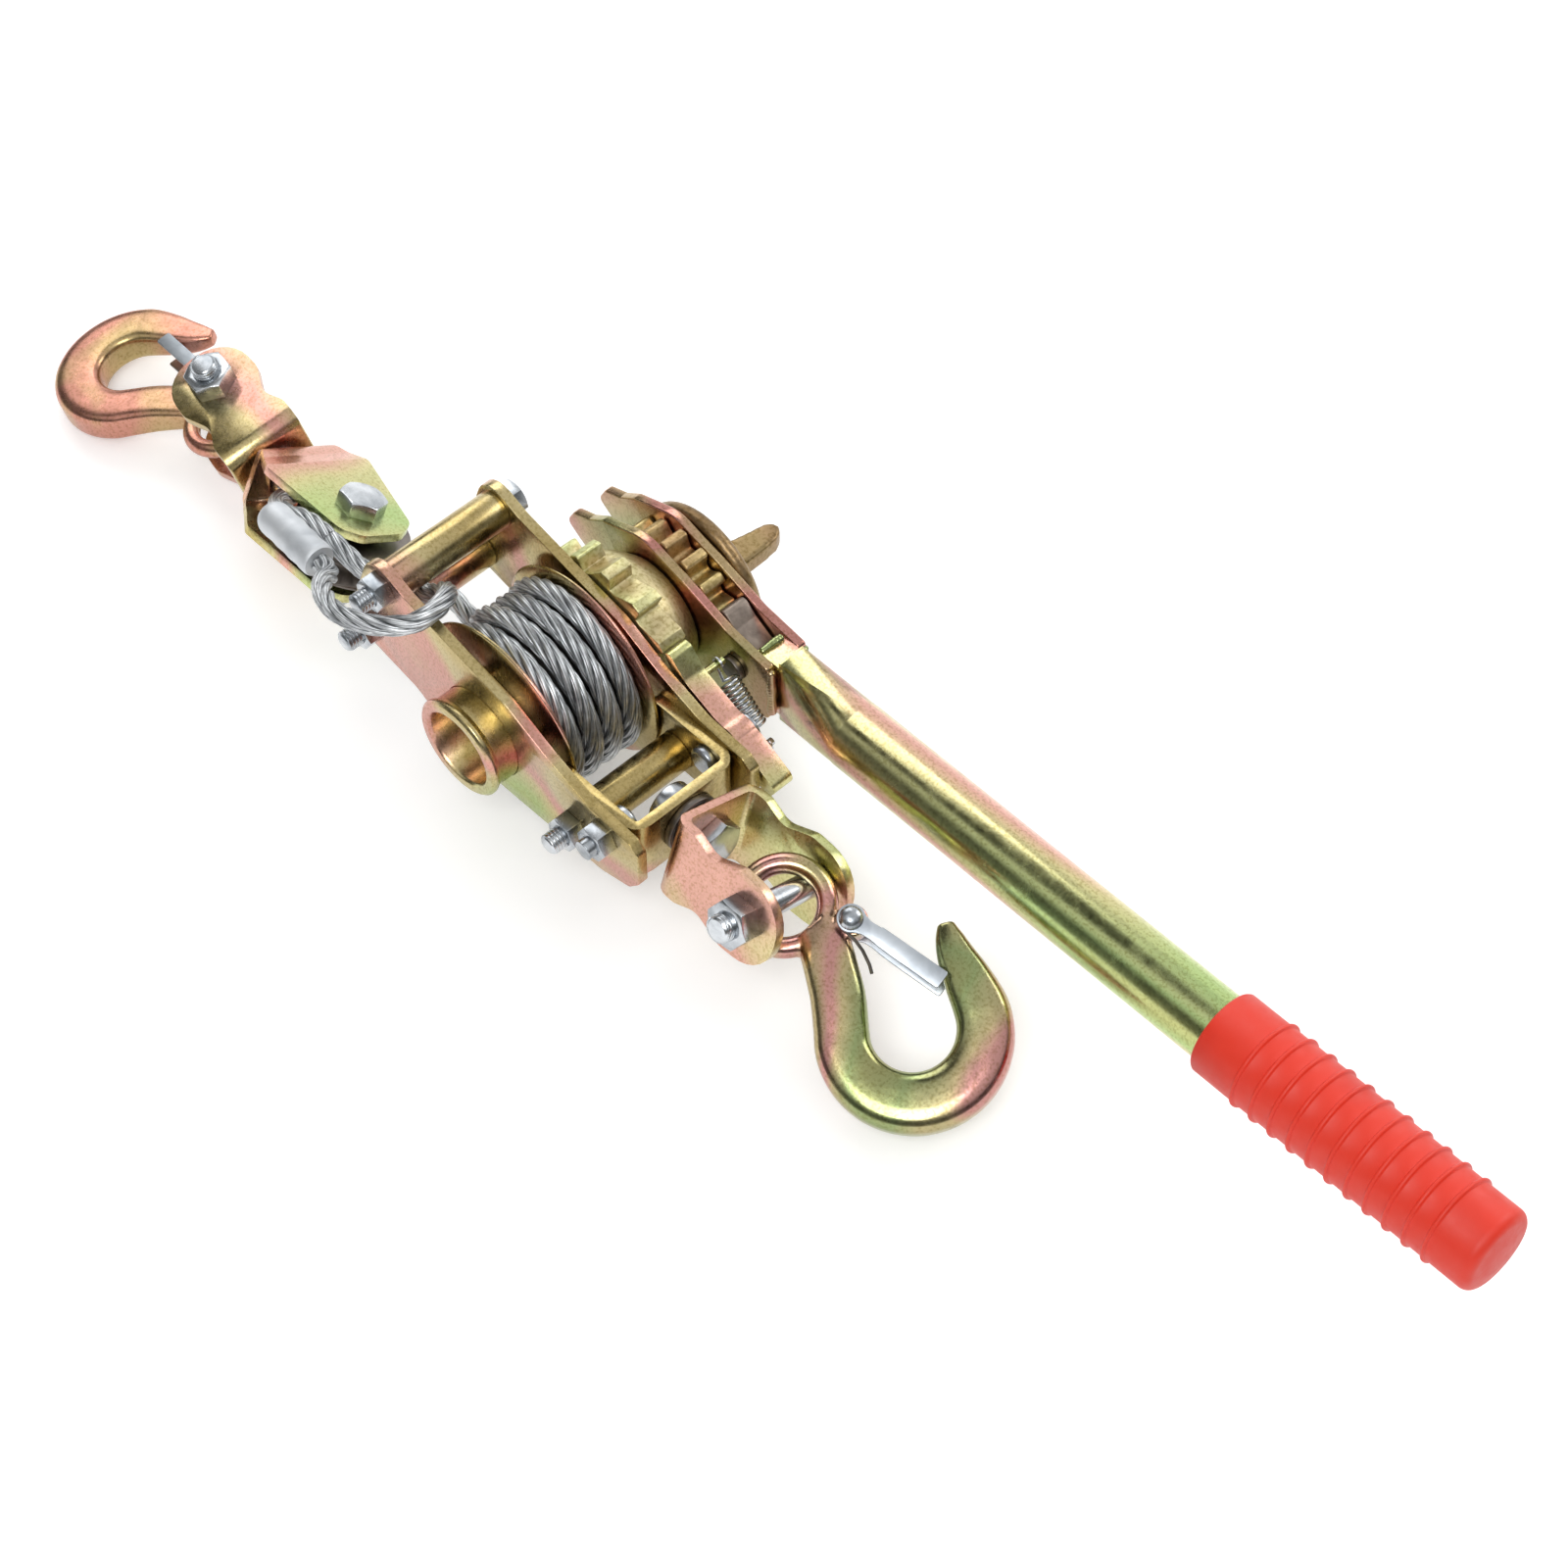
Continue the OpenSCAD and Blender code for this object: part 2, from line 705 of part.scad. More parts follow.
// Yoke: a strap bent into a U, opening along +X, its base's back at X = 0
module yoke_shape(reach, r) {
    difference() {
        intersection() {
            translate([0, 0, -40])
                linear_extrude(80)
                    difference() {
                        polygon(rounded([
                            [0, -ear_gap/2 - strap_t, 7], [0, ear_gap/2 + strap_t, 7],
                            [90, ear_gap/2 + strap_t, 0.5], [90, -ear_gap/2 - strap_t, 0.5]
                        ]));
                        polygon(rounded([
                            [strap_t, -ear_gap/2, 3], [strap_t, ear_gap/2, 3],
                            [100, ear_gap/2, 0.5], [100, -ear_gap/2, 0.5]
                        ]));
                    }
            side(-40, 40)
                polygon(ear_outline(reach, r));
        }
        translate([-1, 0, 0])
            rotate([0, 90, 0])
                cylinder(d = swivel_bolt_d + 0.1, h = 10);
        rod_y([reach, 0], -40, 40, hook_bolt_d/2 + hole_gap);
    }
}

m10_hex = 17;
m10_head = 6.4;
m10_nut = 8;
ear_out = ear_gap/2 + strap_t;

// Hook bolt along Y with its head on the +Y ear
module hook_bolt_shape(reach) {
    translate([reach, ear_out, 0])
        rotate([90, 0, 0])
            hex_bolt(hook_bolt_d, 2*ear_out + m10_nut + 4.5, m10_hex, m10_head);
}

module hook_nut_shape(reach) {
    translate([reach, -ear_out, 0])
        rotate([90, 0, 0])
            hex_nut(hook_bolt_d, m10_hex, m10_nut);
}

// Hook in its own plane: eye at the origin, bowl along +X, tip to +Y
bowl_at = [65.5, 1.6];
bowl_mid_r = bowl_r - 10;
hook_path = concat(
    [[12.5, 1.5, 0], [20, 0.5, 0], [30, -4.6, 0], [38.5, -9.6, 0]],
    [for (a = [-134:14.5:69])
        [bowl_at[0] + bowl_mid_r*cos(a), bowl_at[1] + bowl_mid_r*sin(a), 0]],
    [[65, 28.6, 0], [56, 31.4, 0], [49.5, 34.2, 0], [44.8, 36.8, 0]]
);
hook_sizes = concat(
    [[7.5, 4.4], [9.4, 5.6], [9.8, 6.6], [10, 7.2]],
    [for (i = [0:14]) [10 + 1.2*sin(180*i/14), 7.6 + 0.6*sin(180*i/14)]],
    [[8.8, 6.8], [7, 5.6], [5.2, 4.4], [3, 3]]
);
latch_pivot = [21.5, 13.2];
latch_angle = 11;
module hook_shape() {
    difference() {
        union() {
            sweep(hook_path, hook_sizes, [0, 1, 0], 12);
            rotate_extrude()
                translate([15.5, 0])
                    circle(d = eye_bar_d, $fn = 24);
            translate([latch_pivot[0], latch_pivot[1], -4.6])
                cylinder(r = 6, h = 9.2);
        }
        translate([latch_pivot[0], latch_pivot[1], -20])
            cylinder(r = 2.5 + fit, h = 40);
    }
}

// Latch: a folded channel from its rivet to just inside the hook's tip
latch_len = 35;
latch_in = 7.1;
latch_t = 1.1;
latch_top = 3.5;
module latch_shape() {
    translate([latch_pivot[0], latch_pivot[1], 0])
        rotate([0, 0, latch_angle]) {
            for (s = [-1, 1])
                translate([0, 0, s*(latch_in + latch_t/2) - latch_t/2])
                    difference() {
                        linear_extrude(latch_t)
                            polygon(rounded([
                                [-5.2, -5.2, 5], [-5.2, 5.2, 5], [6, 5.2, 4], [12, latch_top, 6],
                                [latch_len, latch_top, 0.4], [latch_len, -1, 1], [16, -1.4, 6], [6, -5.2, 5]
                            ], 6));
                        translate([0, 0, -1])
                            cylinder(r = 2.5 + fit, h = 4);
                    }
            translate([10, latch_top - latch_t, -latch_in - latch_t/2])
                cube([latch_len - 10.2, latch_t, 2*latch_in + latch_t]);
        }
}

// Rivet with a domed head on both sides of the latch
module rivet_shape() {
    translate([latch_pivot[0], latch_pivot[1], 0])
        rotate_extrude()
            polygon([
                [0, -11], [1.8, -10.8], [3.4, -10], [4.6, -8.4], [2.5, -8.4],
                [2.5, 8.4], [4.6, 8.4], [3.4, 10], [1.8, 10.8], [0, 11]
            ]);
}

// Leg of the latch's wire spring, lying along the hook's inner side
latch_wire = [
    [22, 8.6, 5.6], [27.8, 9, 5.3], [32, 8.6, 2.8], [37, 7, 1], [40, 5.4, 1]
];
module latch_wire_shape() {
    sweep(latch_wire, same_size(latch_wire, 0.7), [0, 0, 1], 6);
}

// ---------- front hook ----------

module at_front_swivel() {
    translate([base_back, 0, swivel_z])
        rotate([front_roll, 0, 0])
            children();
}

front_eye = [129.6, -0.5, -6.8];
module at_front_hook() {
    translate(front_eye)
        rotate([20, 0, 0])
            rotate([0, 13.4, 0])
                rotate([0, 0, -4])
                    children();
}

module front_yoke() {
    color(pink_gold) at_front_swivel() yoke_shape(front_reach, front_ear_r);
}

// Swivel bolt with its head inside the yoke, and its nut inside the bracket
swivel_head = 6;
module swivel_bolt_shape(length) {
    translate([strap_t, 0, 0])
        rotate([0, -90, 0])
            hex_bolt(swivel_bolt_d, length, 18, swivel_head);
}

front_bolt_len = base_back + strap_t - 65;
module front_swivel_bolt() {
    color(zinc) at_front_swivel() swivel_bolt_shape(front_bolt_len);
}

// Round nut inside the bracket and the spacer washer under the yoke
module front_swivel_nut() {
    color(zinc) {
        translate([web_front - bracket_t - 0.4, 0, swivel_z])
            rotate([0, -90, 0])
                washer(swivel_bolt_d/2 + 0.05, 9.5, 6.5);
        translate([base_back - 4, 0, swivel_z])
            rotate([0, 90, 0])
                washer(swivel_bolt_d/2 + 0.05, 10.5, 4);
    }
}

module front_hook_bolt() {
    color(zinc) at_front_swivel() hook_bolt_shape(front_reach);
}

module front_hook_nut() {
    color(zinc) at_front_swivel() hook_nut_shape(front_reach);
}

module front_hook() {
    color(gold) at_front_hook() hook_shape();
}

module front_latch() {
    color(zinc) at_front_hook() latch_shape();
}

module front_latch_rivet() {
    color(zinc) at_front_hook() rivet_shape();
}

module front_latch_spring() {
    color(steel) at_front_hook() latch_wire_shape();
}

// ---------- sheave block ----------

// Block frame: X rearward along the block, Z along the sheave bolt
module at_block() {
    translate(block_at)
        rotate([block_roll, 0, 0])
            rotate([0, 0, 180 + block_yaw])
                children();
}

block_half = block_gap/2;
block_t = 3.5;
web_half = 10.5;
web_play = 1.2;
web_hole_z = -1.5;
draw_from = block_len - 16;
draw_to = block_len - 9;
strap_outline = rounded([
    [-18, -9, 7], [-12, -16.5, 8], [31, -24, 5], [46, -16.5, 2], [60, -16.5, 0.5],
    [60, 16.5, 0.5], [46, 16.5, 2], [31, 24, 5], [-12, 16.5, 8], [-18, 9, 7]
], 6);

// Strap: two plates, drawn in to a narrower web at the rear
module block_strap() {
    color(pink_gold) at_block() difference() {
        intersection() {
            translate([0, 40, 0])
                rotate([90, 0, 0])
                    linear_extrude(80)
                        difference() {
                            polygon(rounded([
                                [-20, -block_half - block_t, 0.5], [draw_from, -block_half - block_t, 5],
                                [draw_to, -web_half - block_t, 5], [block_len, -web_half - block_t, 5],
                                [block_len, web_half + block_t, 5], [draw_to, web_half + block_t, 5],
                                [draw_from, block_half + block_t, 5], [-20, block_half + block_t, 0.5]
                            ]));
                            polygon(rounded([
                                [-30, -block_half, 0.5], [draw_from - 1, -block_half, 2],
                                [draw_to - 1, -web_half, 2], [block_len - block_t, -web_half, 2],
                                [block_len - block_t, web_half, 2], [draw_to - 1, web_half, 2],
                                [draw_from - 1, block_half, 2], [-30, block_half, 0.5]
                            ]));
                        }
            translate([0, 0, -30])
                linear_extrude(60)
                    polygon(strap_outline);
        }
        translate([0, 0, -30])
            cylinder(r = hook_bolt_d/2 + hole_gap, h = 60);
        translate([block_len - 10, 0, web_hole_z])
            rotate([0, 90, 0])
                cylinder(r = swivel_bolt_d/2 + web_play, h = 20);
    }
}

module sheave_bolt() {
    color(zinc) at_block()
        translate([0, 0, block_half + block_t])
            rotate([180, 0, 0])
                hex_bolt(hook_bolt_d, 2*(block_half + block_t) + m10_nut + 4, m10_hex, m10_head);
}

module sheave_nut() {
    color(zinc) at_block()
        translate([0, 0, -block_half - block_t])
            rotate([180, 0, 0])
                hex_nut(hook_bolt_d, m10_hex, m10_nut);
}

bush_r = 8;
module sheave_bush() {
    color(steel) at_block()
        translate([0, 0, -block_half])
            washer(hook_bolt_d/2 + 0.05, bush_r, block_gap);
}

// Grooved sheave
sheave_half = 7.5;
groove_r = sheave_r - 7.5;
module sheave() {
    color(steel) at_block()
        rotate_extrude()
            polygon([
                [bush_r + fit, -sheave_half - 2], [12, -sheave_half - 2], [12, -sheave_half],
                [sheave_r, -sheave_half], [sheave_r, -sheave_half + 1.4],
                [groove_r + 2, -3.6], [groove_r + 0.4, -2], [groove_r, 0],
                [groove_r + 0.4, 2], [groove_r + 2, 3.6],
                [sheave_r, sheave_half - 1.4], [sheave_r, sheave_half],
                [12, sheave_half], [12, sheave_half + 2], [bush_r + fit, sheave_half + 2]
            ]);
}

// ---------- rear hook ----------

// Swivel frame behind the block's web; the yoke's nut looks up
rear_roll = -132;
rear_tilt = [0, -2, 0];
rear_gap = 3;
module at_rear_swivel() {
    at_block()
        translate([block_len, 0, web_hole_z])
            rotate(rear_tilt)
                translate([rear_gap, 0, 0])
                    rotate([rear_roll, 0, 0])
                        children();
}

module rear_yoke() {
    color(gold) at_rear_swivel() yoke_shape(rear_reach, rear_ear_r);
}

rear_nut_h = 5;
rear_nut_gap = 1;
rear_bolt_len = strap_t + rear_gap + block_t + rear_nut_gap + rear_nut_h + 0.5;
module rear_swivel_bolt() {
    color(zinc) at_rear_swivel() swivel_bolt_shape(rear_bolt_len);
}

// Round nut inside the web, and the collar between the web and the yoke
module rear_swivel_nut() {
    color(zinc) at_rear_swivel() {
        translate([-rear_gap - block_t - rear_nut_gap, 0, 0])
            rotate([0, -90, 0])
                washer(swivel_bolt_d/2 + 0.05, 7.8, rear_nut_h);
        translate([-2.4, 0, 0])
            rotate([0, 90, 0])
                washer(swivel_bolt_d/2 + 0.05, 9.5, 2.4);
    }
}

module rear_hook_bolt() {
    color(zinc) at_rear_swivel() hook_bolt_shape(rear_reach);
}

module rear_hook_nut() {
    color(zinc) at_rear_swivel() hook_nut_shape(rear_reach);
}

rear_eye = [-203.9, 8.6, -24.6];
module at_rear_hook() {
    translate(rear_eye)
        rotate([10, 0, 0])
            rotate([0, -11, 0])
                rotate([0, 0, 7])
                    rotate([180, 0, 180])
                        scale(rear_hook_size)
                            children();
}

module rear_hook() {
    color(gold) at_rear_hook() hook_shape();
}

module rear_latch() {
    color(zinc) at_rear_hook() latch_shape();
}

module rear_latch_rivet() {
    color(zinc) at_rear_hook() rivet_shape();
}

module rear_latch_spring() {
    color(steel) at_rear_hook() latch_wire_shape();
}

// ---------- loose rope ----------

// Standing part: from the drum's bottom, round behind the sheave, then
// forward beside the ferrule
rope_lead_points = [
    [-29, 14.2, -32.6], [-45, 14.6, -31.6], [-63, 16.4, -29], [-82, 16.8, -25], [-99.6, 14.6, -20],
    [-119.3, 17.3, -21.6], [-137, 13.9, -21], [-144.6, 2.9, -13.9], [-141.8, -8.8, -4.2],
    [-133.4, -17.3, 4.8], [-124.8, -18.9, 8.6], [-115.8, -17.4, 11.4], [-107, -17.4, 12.8],
    [-100, -17.8, 13.4]
];
module rope_lead() {
    p = route(rope_lead_points, 3);
    echo(rope_lead_length = route_length(p));
    color(rope_grey) sweep(p, same_size(p, rope_d/2), [0, 0, 1], 8);
}

// Eye: under and round the upper spacer, out over the near plate's edge,
// outside the bolt's end and into the ferrule
rope_eye_points = [
    [-99.8, -17.8, 13.4], [-91, -18.4, 13.8], [-79, -19, 14.8], [-67, -17.4, 18.6], [-55, -15, 22.9],
    [-47.5, -14, 24.3], [-41.6, -13.8, 29.6], [-35, -14.4, 36.4], [-28.4, -19.6, 43.4], [-25.4, -28, 45], [-29, -36.6, 41.6],
    [-40, -45.4, 39], [-54, -49.4, 36.2], [-68, -45.6, 30.6], [-78, -39, 24.6], [-82.5, -33.2, 19.4],
    [-86.4, -30.1, 17.2], [-91.7, -29.6, 17]
];
module rope_eye() {
    p = route(rope_eye_points, 3);
    echo(rope_eye_length = route_length(p));
    color(rope_grey) sweep(p, same_size(p, rope_d/2), [0, 0, 1], 8);
}

// Pressed sleeve on the rope's end, closed behind
ferrule_rear = [-125, -27.5, 15.8];
ferrule_front = [-92, -29.6, 17];
ferrule_steps = [[0, 4.4], [0.03, 5.8], [0.09, 6.8], [0.16, 7], [0.94, 7], [1, 6.6]];
module ferrule() {
    p = [for (k = ferrule_steps) ferrule_rear + (ferrule_front - ferrule_rear)*k[0]];
    color(alloy) sweep(p, [for (k = ferrule_steps) [k[1], k[1]]], [0, 0, 1], 20);
}

near_plate();
far_plate();
rear_upper_spacer();
rear_lower_spacer();
front_spacer();
anchor_bracket();
frame_bolts();
frame_nuts();
bracket_bolt();
pawl_pivot_bolt();
swivel_washer();
drum_tube();
near_flange();
far_flange();
ratchet_wheel();
drive_gear();
drum_shaft();
wing_knob();
rope_core();
rope_winding();
near_cheek();
far_cheek();
handle_tube();
handle_grip();
handle_pawl_pin();
handle_pawl();
frame_pawl();
pawl_spring();
spring_post();
front_yoke();
front_swivel_bolt();
front_swivel_nut();
front_hook_bolt();
front_hook_nut();
front_hook();
front_latch();
front_latch_rivet();
front_latch_spring();
block_strap();
sheave_bolt();
sheave_nut();
sheave_bush();
sheave();
rear_yoke();
rear_swivel_bolt();
rear_swivel_nut();
rear_hook_bolt();
rear_hook_nut();
rear_hook();
rear_latch();
rear_latch_rivet();
rear_latch_spring();
rope_lead();
rope_eye();
ferrule();
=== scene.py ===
"""Looks of a come along winch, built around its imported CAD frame.

X runs along the pull, forward to the anchor hook; Y is the drum's axis, plus Y to the ratchet
side; Z is up. The origin is the middle of the drum. Sizes here are in millimetres and are turned
to metres where a mesh is made.
"""

import json
import logging
import math
from collections.abc import Iterator
from contextlib import contextmanager
from dataclasses import dataclass, field
from enum import Enum
from typing import Any

import bmesh
import bpy
import numpy as np
from mathutils import Matrix, Vector


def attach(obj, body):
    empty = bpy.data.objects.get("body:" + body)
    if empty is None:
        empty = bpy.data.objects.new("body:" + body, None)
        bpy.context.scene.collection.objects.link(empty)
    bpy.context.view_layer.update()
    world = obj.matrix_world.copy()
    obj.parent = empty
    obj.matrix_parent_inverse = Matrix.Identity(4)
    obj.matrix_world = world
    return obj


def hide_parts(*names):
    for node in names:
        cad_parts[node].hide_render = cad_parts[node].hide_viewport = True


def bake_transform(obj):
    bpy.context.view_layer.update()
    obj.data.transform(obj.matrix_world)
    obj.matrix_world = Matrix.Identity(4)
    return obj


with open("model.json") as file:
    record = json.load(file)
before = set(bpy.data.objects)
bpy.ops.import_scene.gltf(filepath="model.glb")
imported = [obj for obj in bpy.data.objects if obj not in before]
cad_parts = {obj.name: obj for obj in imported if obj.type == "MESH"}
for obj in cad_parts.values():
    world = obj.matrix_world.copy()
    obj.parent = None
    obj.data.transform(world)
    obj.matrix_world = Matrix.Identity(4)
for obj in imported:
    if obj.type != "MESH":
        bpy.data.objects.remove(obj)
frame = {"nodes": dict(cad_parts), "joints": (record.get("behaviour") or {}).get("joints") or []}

LOG = logging.getLogger("winch")
Triple = tuple[float, float, float]
MM = 0.001
ROPE_D = 8.0
SHARP_ANGLE = 34.0
FLAT_ANGLE = 0.6
DOUBLED_MM = 0.002


class Body(str, Enum):
    """Names of the moving bodies of the frame."""

    FRAME = "frame"
    DRUM = "drum"
    LEVER = "lever"
    DRIVE_PAWL = "drive_pawl"
    STOP_PAWL = "stop_pawl"
    FRONT_CLEVIS = "front_clevis"
    ANCHOR_HOOK = "anchor_hook"
    ANCHOR_LATCH = "anchor_latch"
    BLOCK = "block"
    SHEAVE = "sheave_wheel"
    REAR_CLEVIS = "rear_clevis"
    LOAD_HOOK = "load_hook"
    LOAD_LATCH = "load_latch"


# ---------------------------------------------------------------- finishes


def linear(code: str) -> tuple[float, float, float, float]:
    """Turns an sRGB hex colour to linear values.

    Args:
        code: Six hex digits with a leading #.

    Returns:
        Linear red, green, blue and an alpha of 1.
    """
    parts = [int(code[i : i + 2], 16) / 255 for i in (1, 3, 5)]
    low = [c / 12.92 if c <= 0.04045 else ((c + 0.055) / 1.055) ** 2.4 for c in parts]
    return (low[0], low[1], low[2], 1.0)


def add(tree: Any, kind: str, inputs: dict[Any, Any] | None = None, **settings: Any) -> Any:
    """Adds one node with its settings, values and links.

    Args:
        tree: Node tree that gets the node.
        kind: The node's type name.
        inputs: Input name or number to a value or to an output socket to link.
        settings: Attributes of the node, such as its operation.

    Returns:
        The new node.
    """
    node = tree.nodes.new(kind)
    for name, value in settings.items():
        setattr(node, name, value)
    for key, value in (inputs or {}).items():
        if isinstance(value, bpy.types.NodeSocket):
            tree.links.new(value, node.inputs[key])
        else:
            node.inputs[key].default_value = value
    return node


def new_material(name: str) -> tuple[Any, Any, Any]:
    """Starts a node material.

    Args:
        name: The material's name.

    Returns:
        The material, its node tree and its Principled shader.
    """
    made = bpy.data.materials.new(name)
    made.use_nodes = True
    tree = made.node_tree
    tree.nodes.clear()
    shader = add(tree, "ShaderNodeBsdfPrincipled")
    add(tree, "ShaderNodeOutputMaterial", {"Surface": shader.outputs["BSDF"]})
    return made, tree, shader


def ramp(tree: Any, factor: Any, stops: list[tuple[float, str]]) -> Any:
    """Adds a colour ramp.

    Args:
        tree: Node tree that gets it.
        factor: Output socket that drives it.
        stops: Positions with their hex colours.

    Returns:
        The ramp's colour socket.
    """
    node = add(tree, "ShaderNodeValToRGB", {"Fac": factor})
    marks = node.color_ramp.elements
    while len(marks) < len(stops):
        marks.new(0.5)
    for mark, (place, code) in zip(marks, stops):
        mark.position, mark.color = place, linear(code)
    return node.outputs["Color"]


def noise(tree: Any, where: Any, size_mm: float, detail: float = 3, rough: float = 0.55,
          twist: float = 0.0) -> Any:
    """Adds a noise pattern whose blobs have a real size.

    Args:
        tree: Node tree that gets it.
        where: Vector socket it reads.
        size_mm: Width of its largest blobs.
        detail: Octaves.
        rough: How strong each finer octave is.
        twist: Distortion.

    Returns:
        The pattern's value socket.
    """
    node = add(tree, "ShaderNodeTexNoise", {
        "Vector": where, "Scale": 1000 / size_mm / 2, "Detail": detail, "Roughness": rough,
        "Distortion": twist,
    })
    return node.outputs["Fac"]


def maths(tree: Any, operation: str, a: Any, b: Any = 0.0, c: Any = 0.0) -> Any:
    """Adds one Math node and returns its value socket."""
    return add(tree, "ShaderNodeMath", {0: a, 1: b, 2: c}, operation=operation).outputs[0]


def mixed(tree: Any, factor: Any, a: Any, b: Any, blend: str = "MIX") -> Any:
    """Adds a colour Mix node and returns its colour socket."""
    return add(tree, "ShaderNodeMix", {"Factor": factor, 6: a, 7: b}, data_type="RGBA",
               blend_type=blend).outputs[2]


def vectors(tree: Any, operation: str, a: Any, b: Any = None, scale: Any = None) -> Any:
    """Adds one Vector Math node.

    Args:
        tree: Node tree that gets it.
        operation: What it works out.
        a: The first vector.
        b: The second vector, if there is one.
        scale: The factor of a SCALE.

    Returns:
        Its value socket for a length or a dot product, otherwise its vector socket.
    """
    inputs = {0: a}
    if b is not None:
        inputs[1] = b
    if scale is not None:
        inputs["Scale"] = scale
    node = add(tree, "ShaderNodeVectorMath", inputs, operation=operation)
    return node.outputs["Value" if operation in ("DOT_PRODUCT", "LENGTH") else "Vector"]


def spread(tree: Any, value: Any, given: tuple[float, float], wanted: tuple[float, float],
           **settings: Any) -> Any:
    """Maps a value from one range to another.

    Args:
        tree: Node tree that gets the node.
        value: Socket that is read.
        given: The range it comes in.
        wanted: The range it goes to.
        settings: Attributes of the node.

    Returns:
        The mapped value's socket.
    """
    return add(tree, "ShaderNodeMapRange", {
        "Value": value, "From Min": given[0], "From Max": given[1],
        "To Min": wanted[0], "To Max": wanted[1],
    }, **settings).outputs[0]


def dressed(tree: Any, shader: Any, shade: Any, rough: Any, normal: Any, metal: float) -> None:
    """Links a shader's colour, roughness and normal.

    Args:
        tree: The material's tree.
        shader: Its Principled shader.
        shade: Colour socket.
        rough: Roughness socket.
        normal: Normal socket.
        metal: How metallic it is.
    """
    for key, value in (("Base Color", shade), ("Roughness", rough), ("Normal", normal)):
        tree.links.new(value, shader.inputs[key])
    shader.inputs["Metallic"].default_value = metal


def bumped(tree: Any, height: Any, depth_mm: float, under: Any = None) -> Any:
    """Adds a Bump node of a real depth and returns its normal socket."""
    inputs = {"Height": height, "Distance": depth_mm * MM, "Strength": 1.0}
    if under is not None:
        inputs["Normal"] = under
    return add(tree, "ShaderNodeBump", inputs).outputs["Normal"]


def object_place(tree: Any, stretch: Triple = (1, 1, 1), shift: Triple = (0, 0, 0)) -> Any:
    """Adds Object coordinates, stretched and shifted, and returns their vector socket."""
    read = add(tree, "ShaderNodeTexCoord").outputs["Object"]
    return add(tree, "ShaderNodeMapping",
               {"Vector": read, "Scale": stretch, "Location": shift}).outputs["Vector"]


@dataclass(frozen=True)
class YellowZinc:
    """Yellow zinc chromate on rolled sheet: pale brass with rosy and green interference bands.

    The chromate film's thickness drifts over some centimetres, so its colour runs from gold
    through pink to green and back. The rolled sheet under it adds a fine dark grain.
    """

    name: str
    gold: str = "#C0B177"
    straw: str = "#D2C894"
    rose: str = "#D9A797"
    green: str = "#B2C987"
    film_shift: float = 0.0
    rose_width: float = 0.03
    cloud_mm: float = 44.0
    roughness: float = 0.24
    stretch: Triple = (1, 1, 1)
    shift: Triple = (0, 0, 0)
    tone: Triple = (1, 1, 1)

    def build(self) -> Any:
        """Makes the material."""
        made, tree, shader = new_material(self.name)
        where = object_place(tree, (1, 1, 1), self.shift)
        flow = object_place(tree, self.stretch, self.shift)
        film = maths(tree, "ADD", noise(tree, flow, self.cloud_mm, 1.2, 0.4, 0.7), self.film_shift)
        film = maths(tree, "MULTIPLY_ADD", noise(tree, flow, 7.0, 3, 0.6), 0.04, film)
        wide = self.rose_width
        tint = ramp(tree, film, [(0.38, self.gold), (0.50 - wide, self.straw),
                                 (0.54 - wide / 2, self.rose), (0.54 + wide / 2, self.rose),
                                 (0.58 + wide, self.straw), (0.68 + wide, self.green),
                                 (0.82 + wide, self.gold)])
        fine = noise(tree, where, 0.6, 3, 0.6)
        speckle = ramp(tree, fine, [(0.36, "#E2DFD0"), (0.52, "#FFFFFF")])
        shade = mixed(tree, 1.0, tint, speckle, "MULTIPLY")
        shade = mixed(tree, 1.0, shade, (*self.tone, 1), "MULTIPLY")
        marks = noise(tree, object_place(tree, (1, 1, 0.25)), 3.0, 5, 0.65)
        rough = spread(tree, marks, (0.3, 0.72), (self.roughness - 0.05, self.roughness + 0.10))
        normal = bumped(tree, noise(tree, where, 9.0, 2, 0.5), 0.08)
        dressed(tree, shader, shade, rough, bumped(tree, fine, 0.014, normal), 1.0)
        return made


@dataclass(frozen=True)
class CastZinc:
    """Yellow zinc chromate on a rough iron casting: duller, browner and granular.

    The sand skin's grain, about a millimetre wide, breaks every highlight up.
    """

    name: str
    light: str = "#CDBB84"
    dark: str = "#B4986F"
    olive: str = "#BCBD80"
    grain_mm: float = 0.8
    depth_mm: float = 0.09
    roughness: float = 0.38

    def build(self) -> Any:
        """Makes the material."""
        made, tree, shader = new_material(self.name)
        where = object_place(tree)
        grain = noise(tree, where, self.grain_mm, 3, 0.55)
        patch = noise(tree, where, 22, 2, 0.5, 0.6)
        base = ramp(tree, patch, [(0.34, self.olive), (0.52, self.light), (0.68, self.dark)])
        pits = ramp(tree, grain, [(0.34, "#D6D0BC"), (0.54, "#FFFFFF")])
        shade = mixed(tree, 1.0, base, pits, "MULTIPLY")
        rough = spread(tree, patch, (0.3, 0.7), (self.roughness - 0.05, self.roughness + 0.08))
        normal = bumped(tree, noise(tree, where, 5, 2), 0.14)
        dressed(tree, shader, shade, rough, bumped(tree, grain, self.depth_mm, normal), 1.0)
        return made


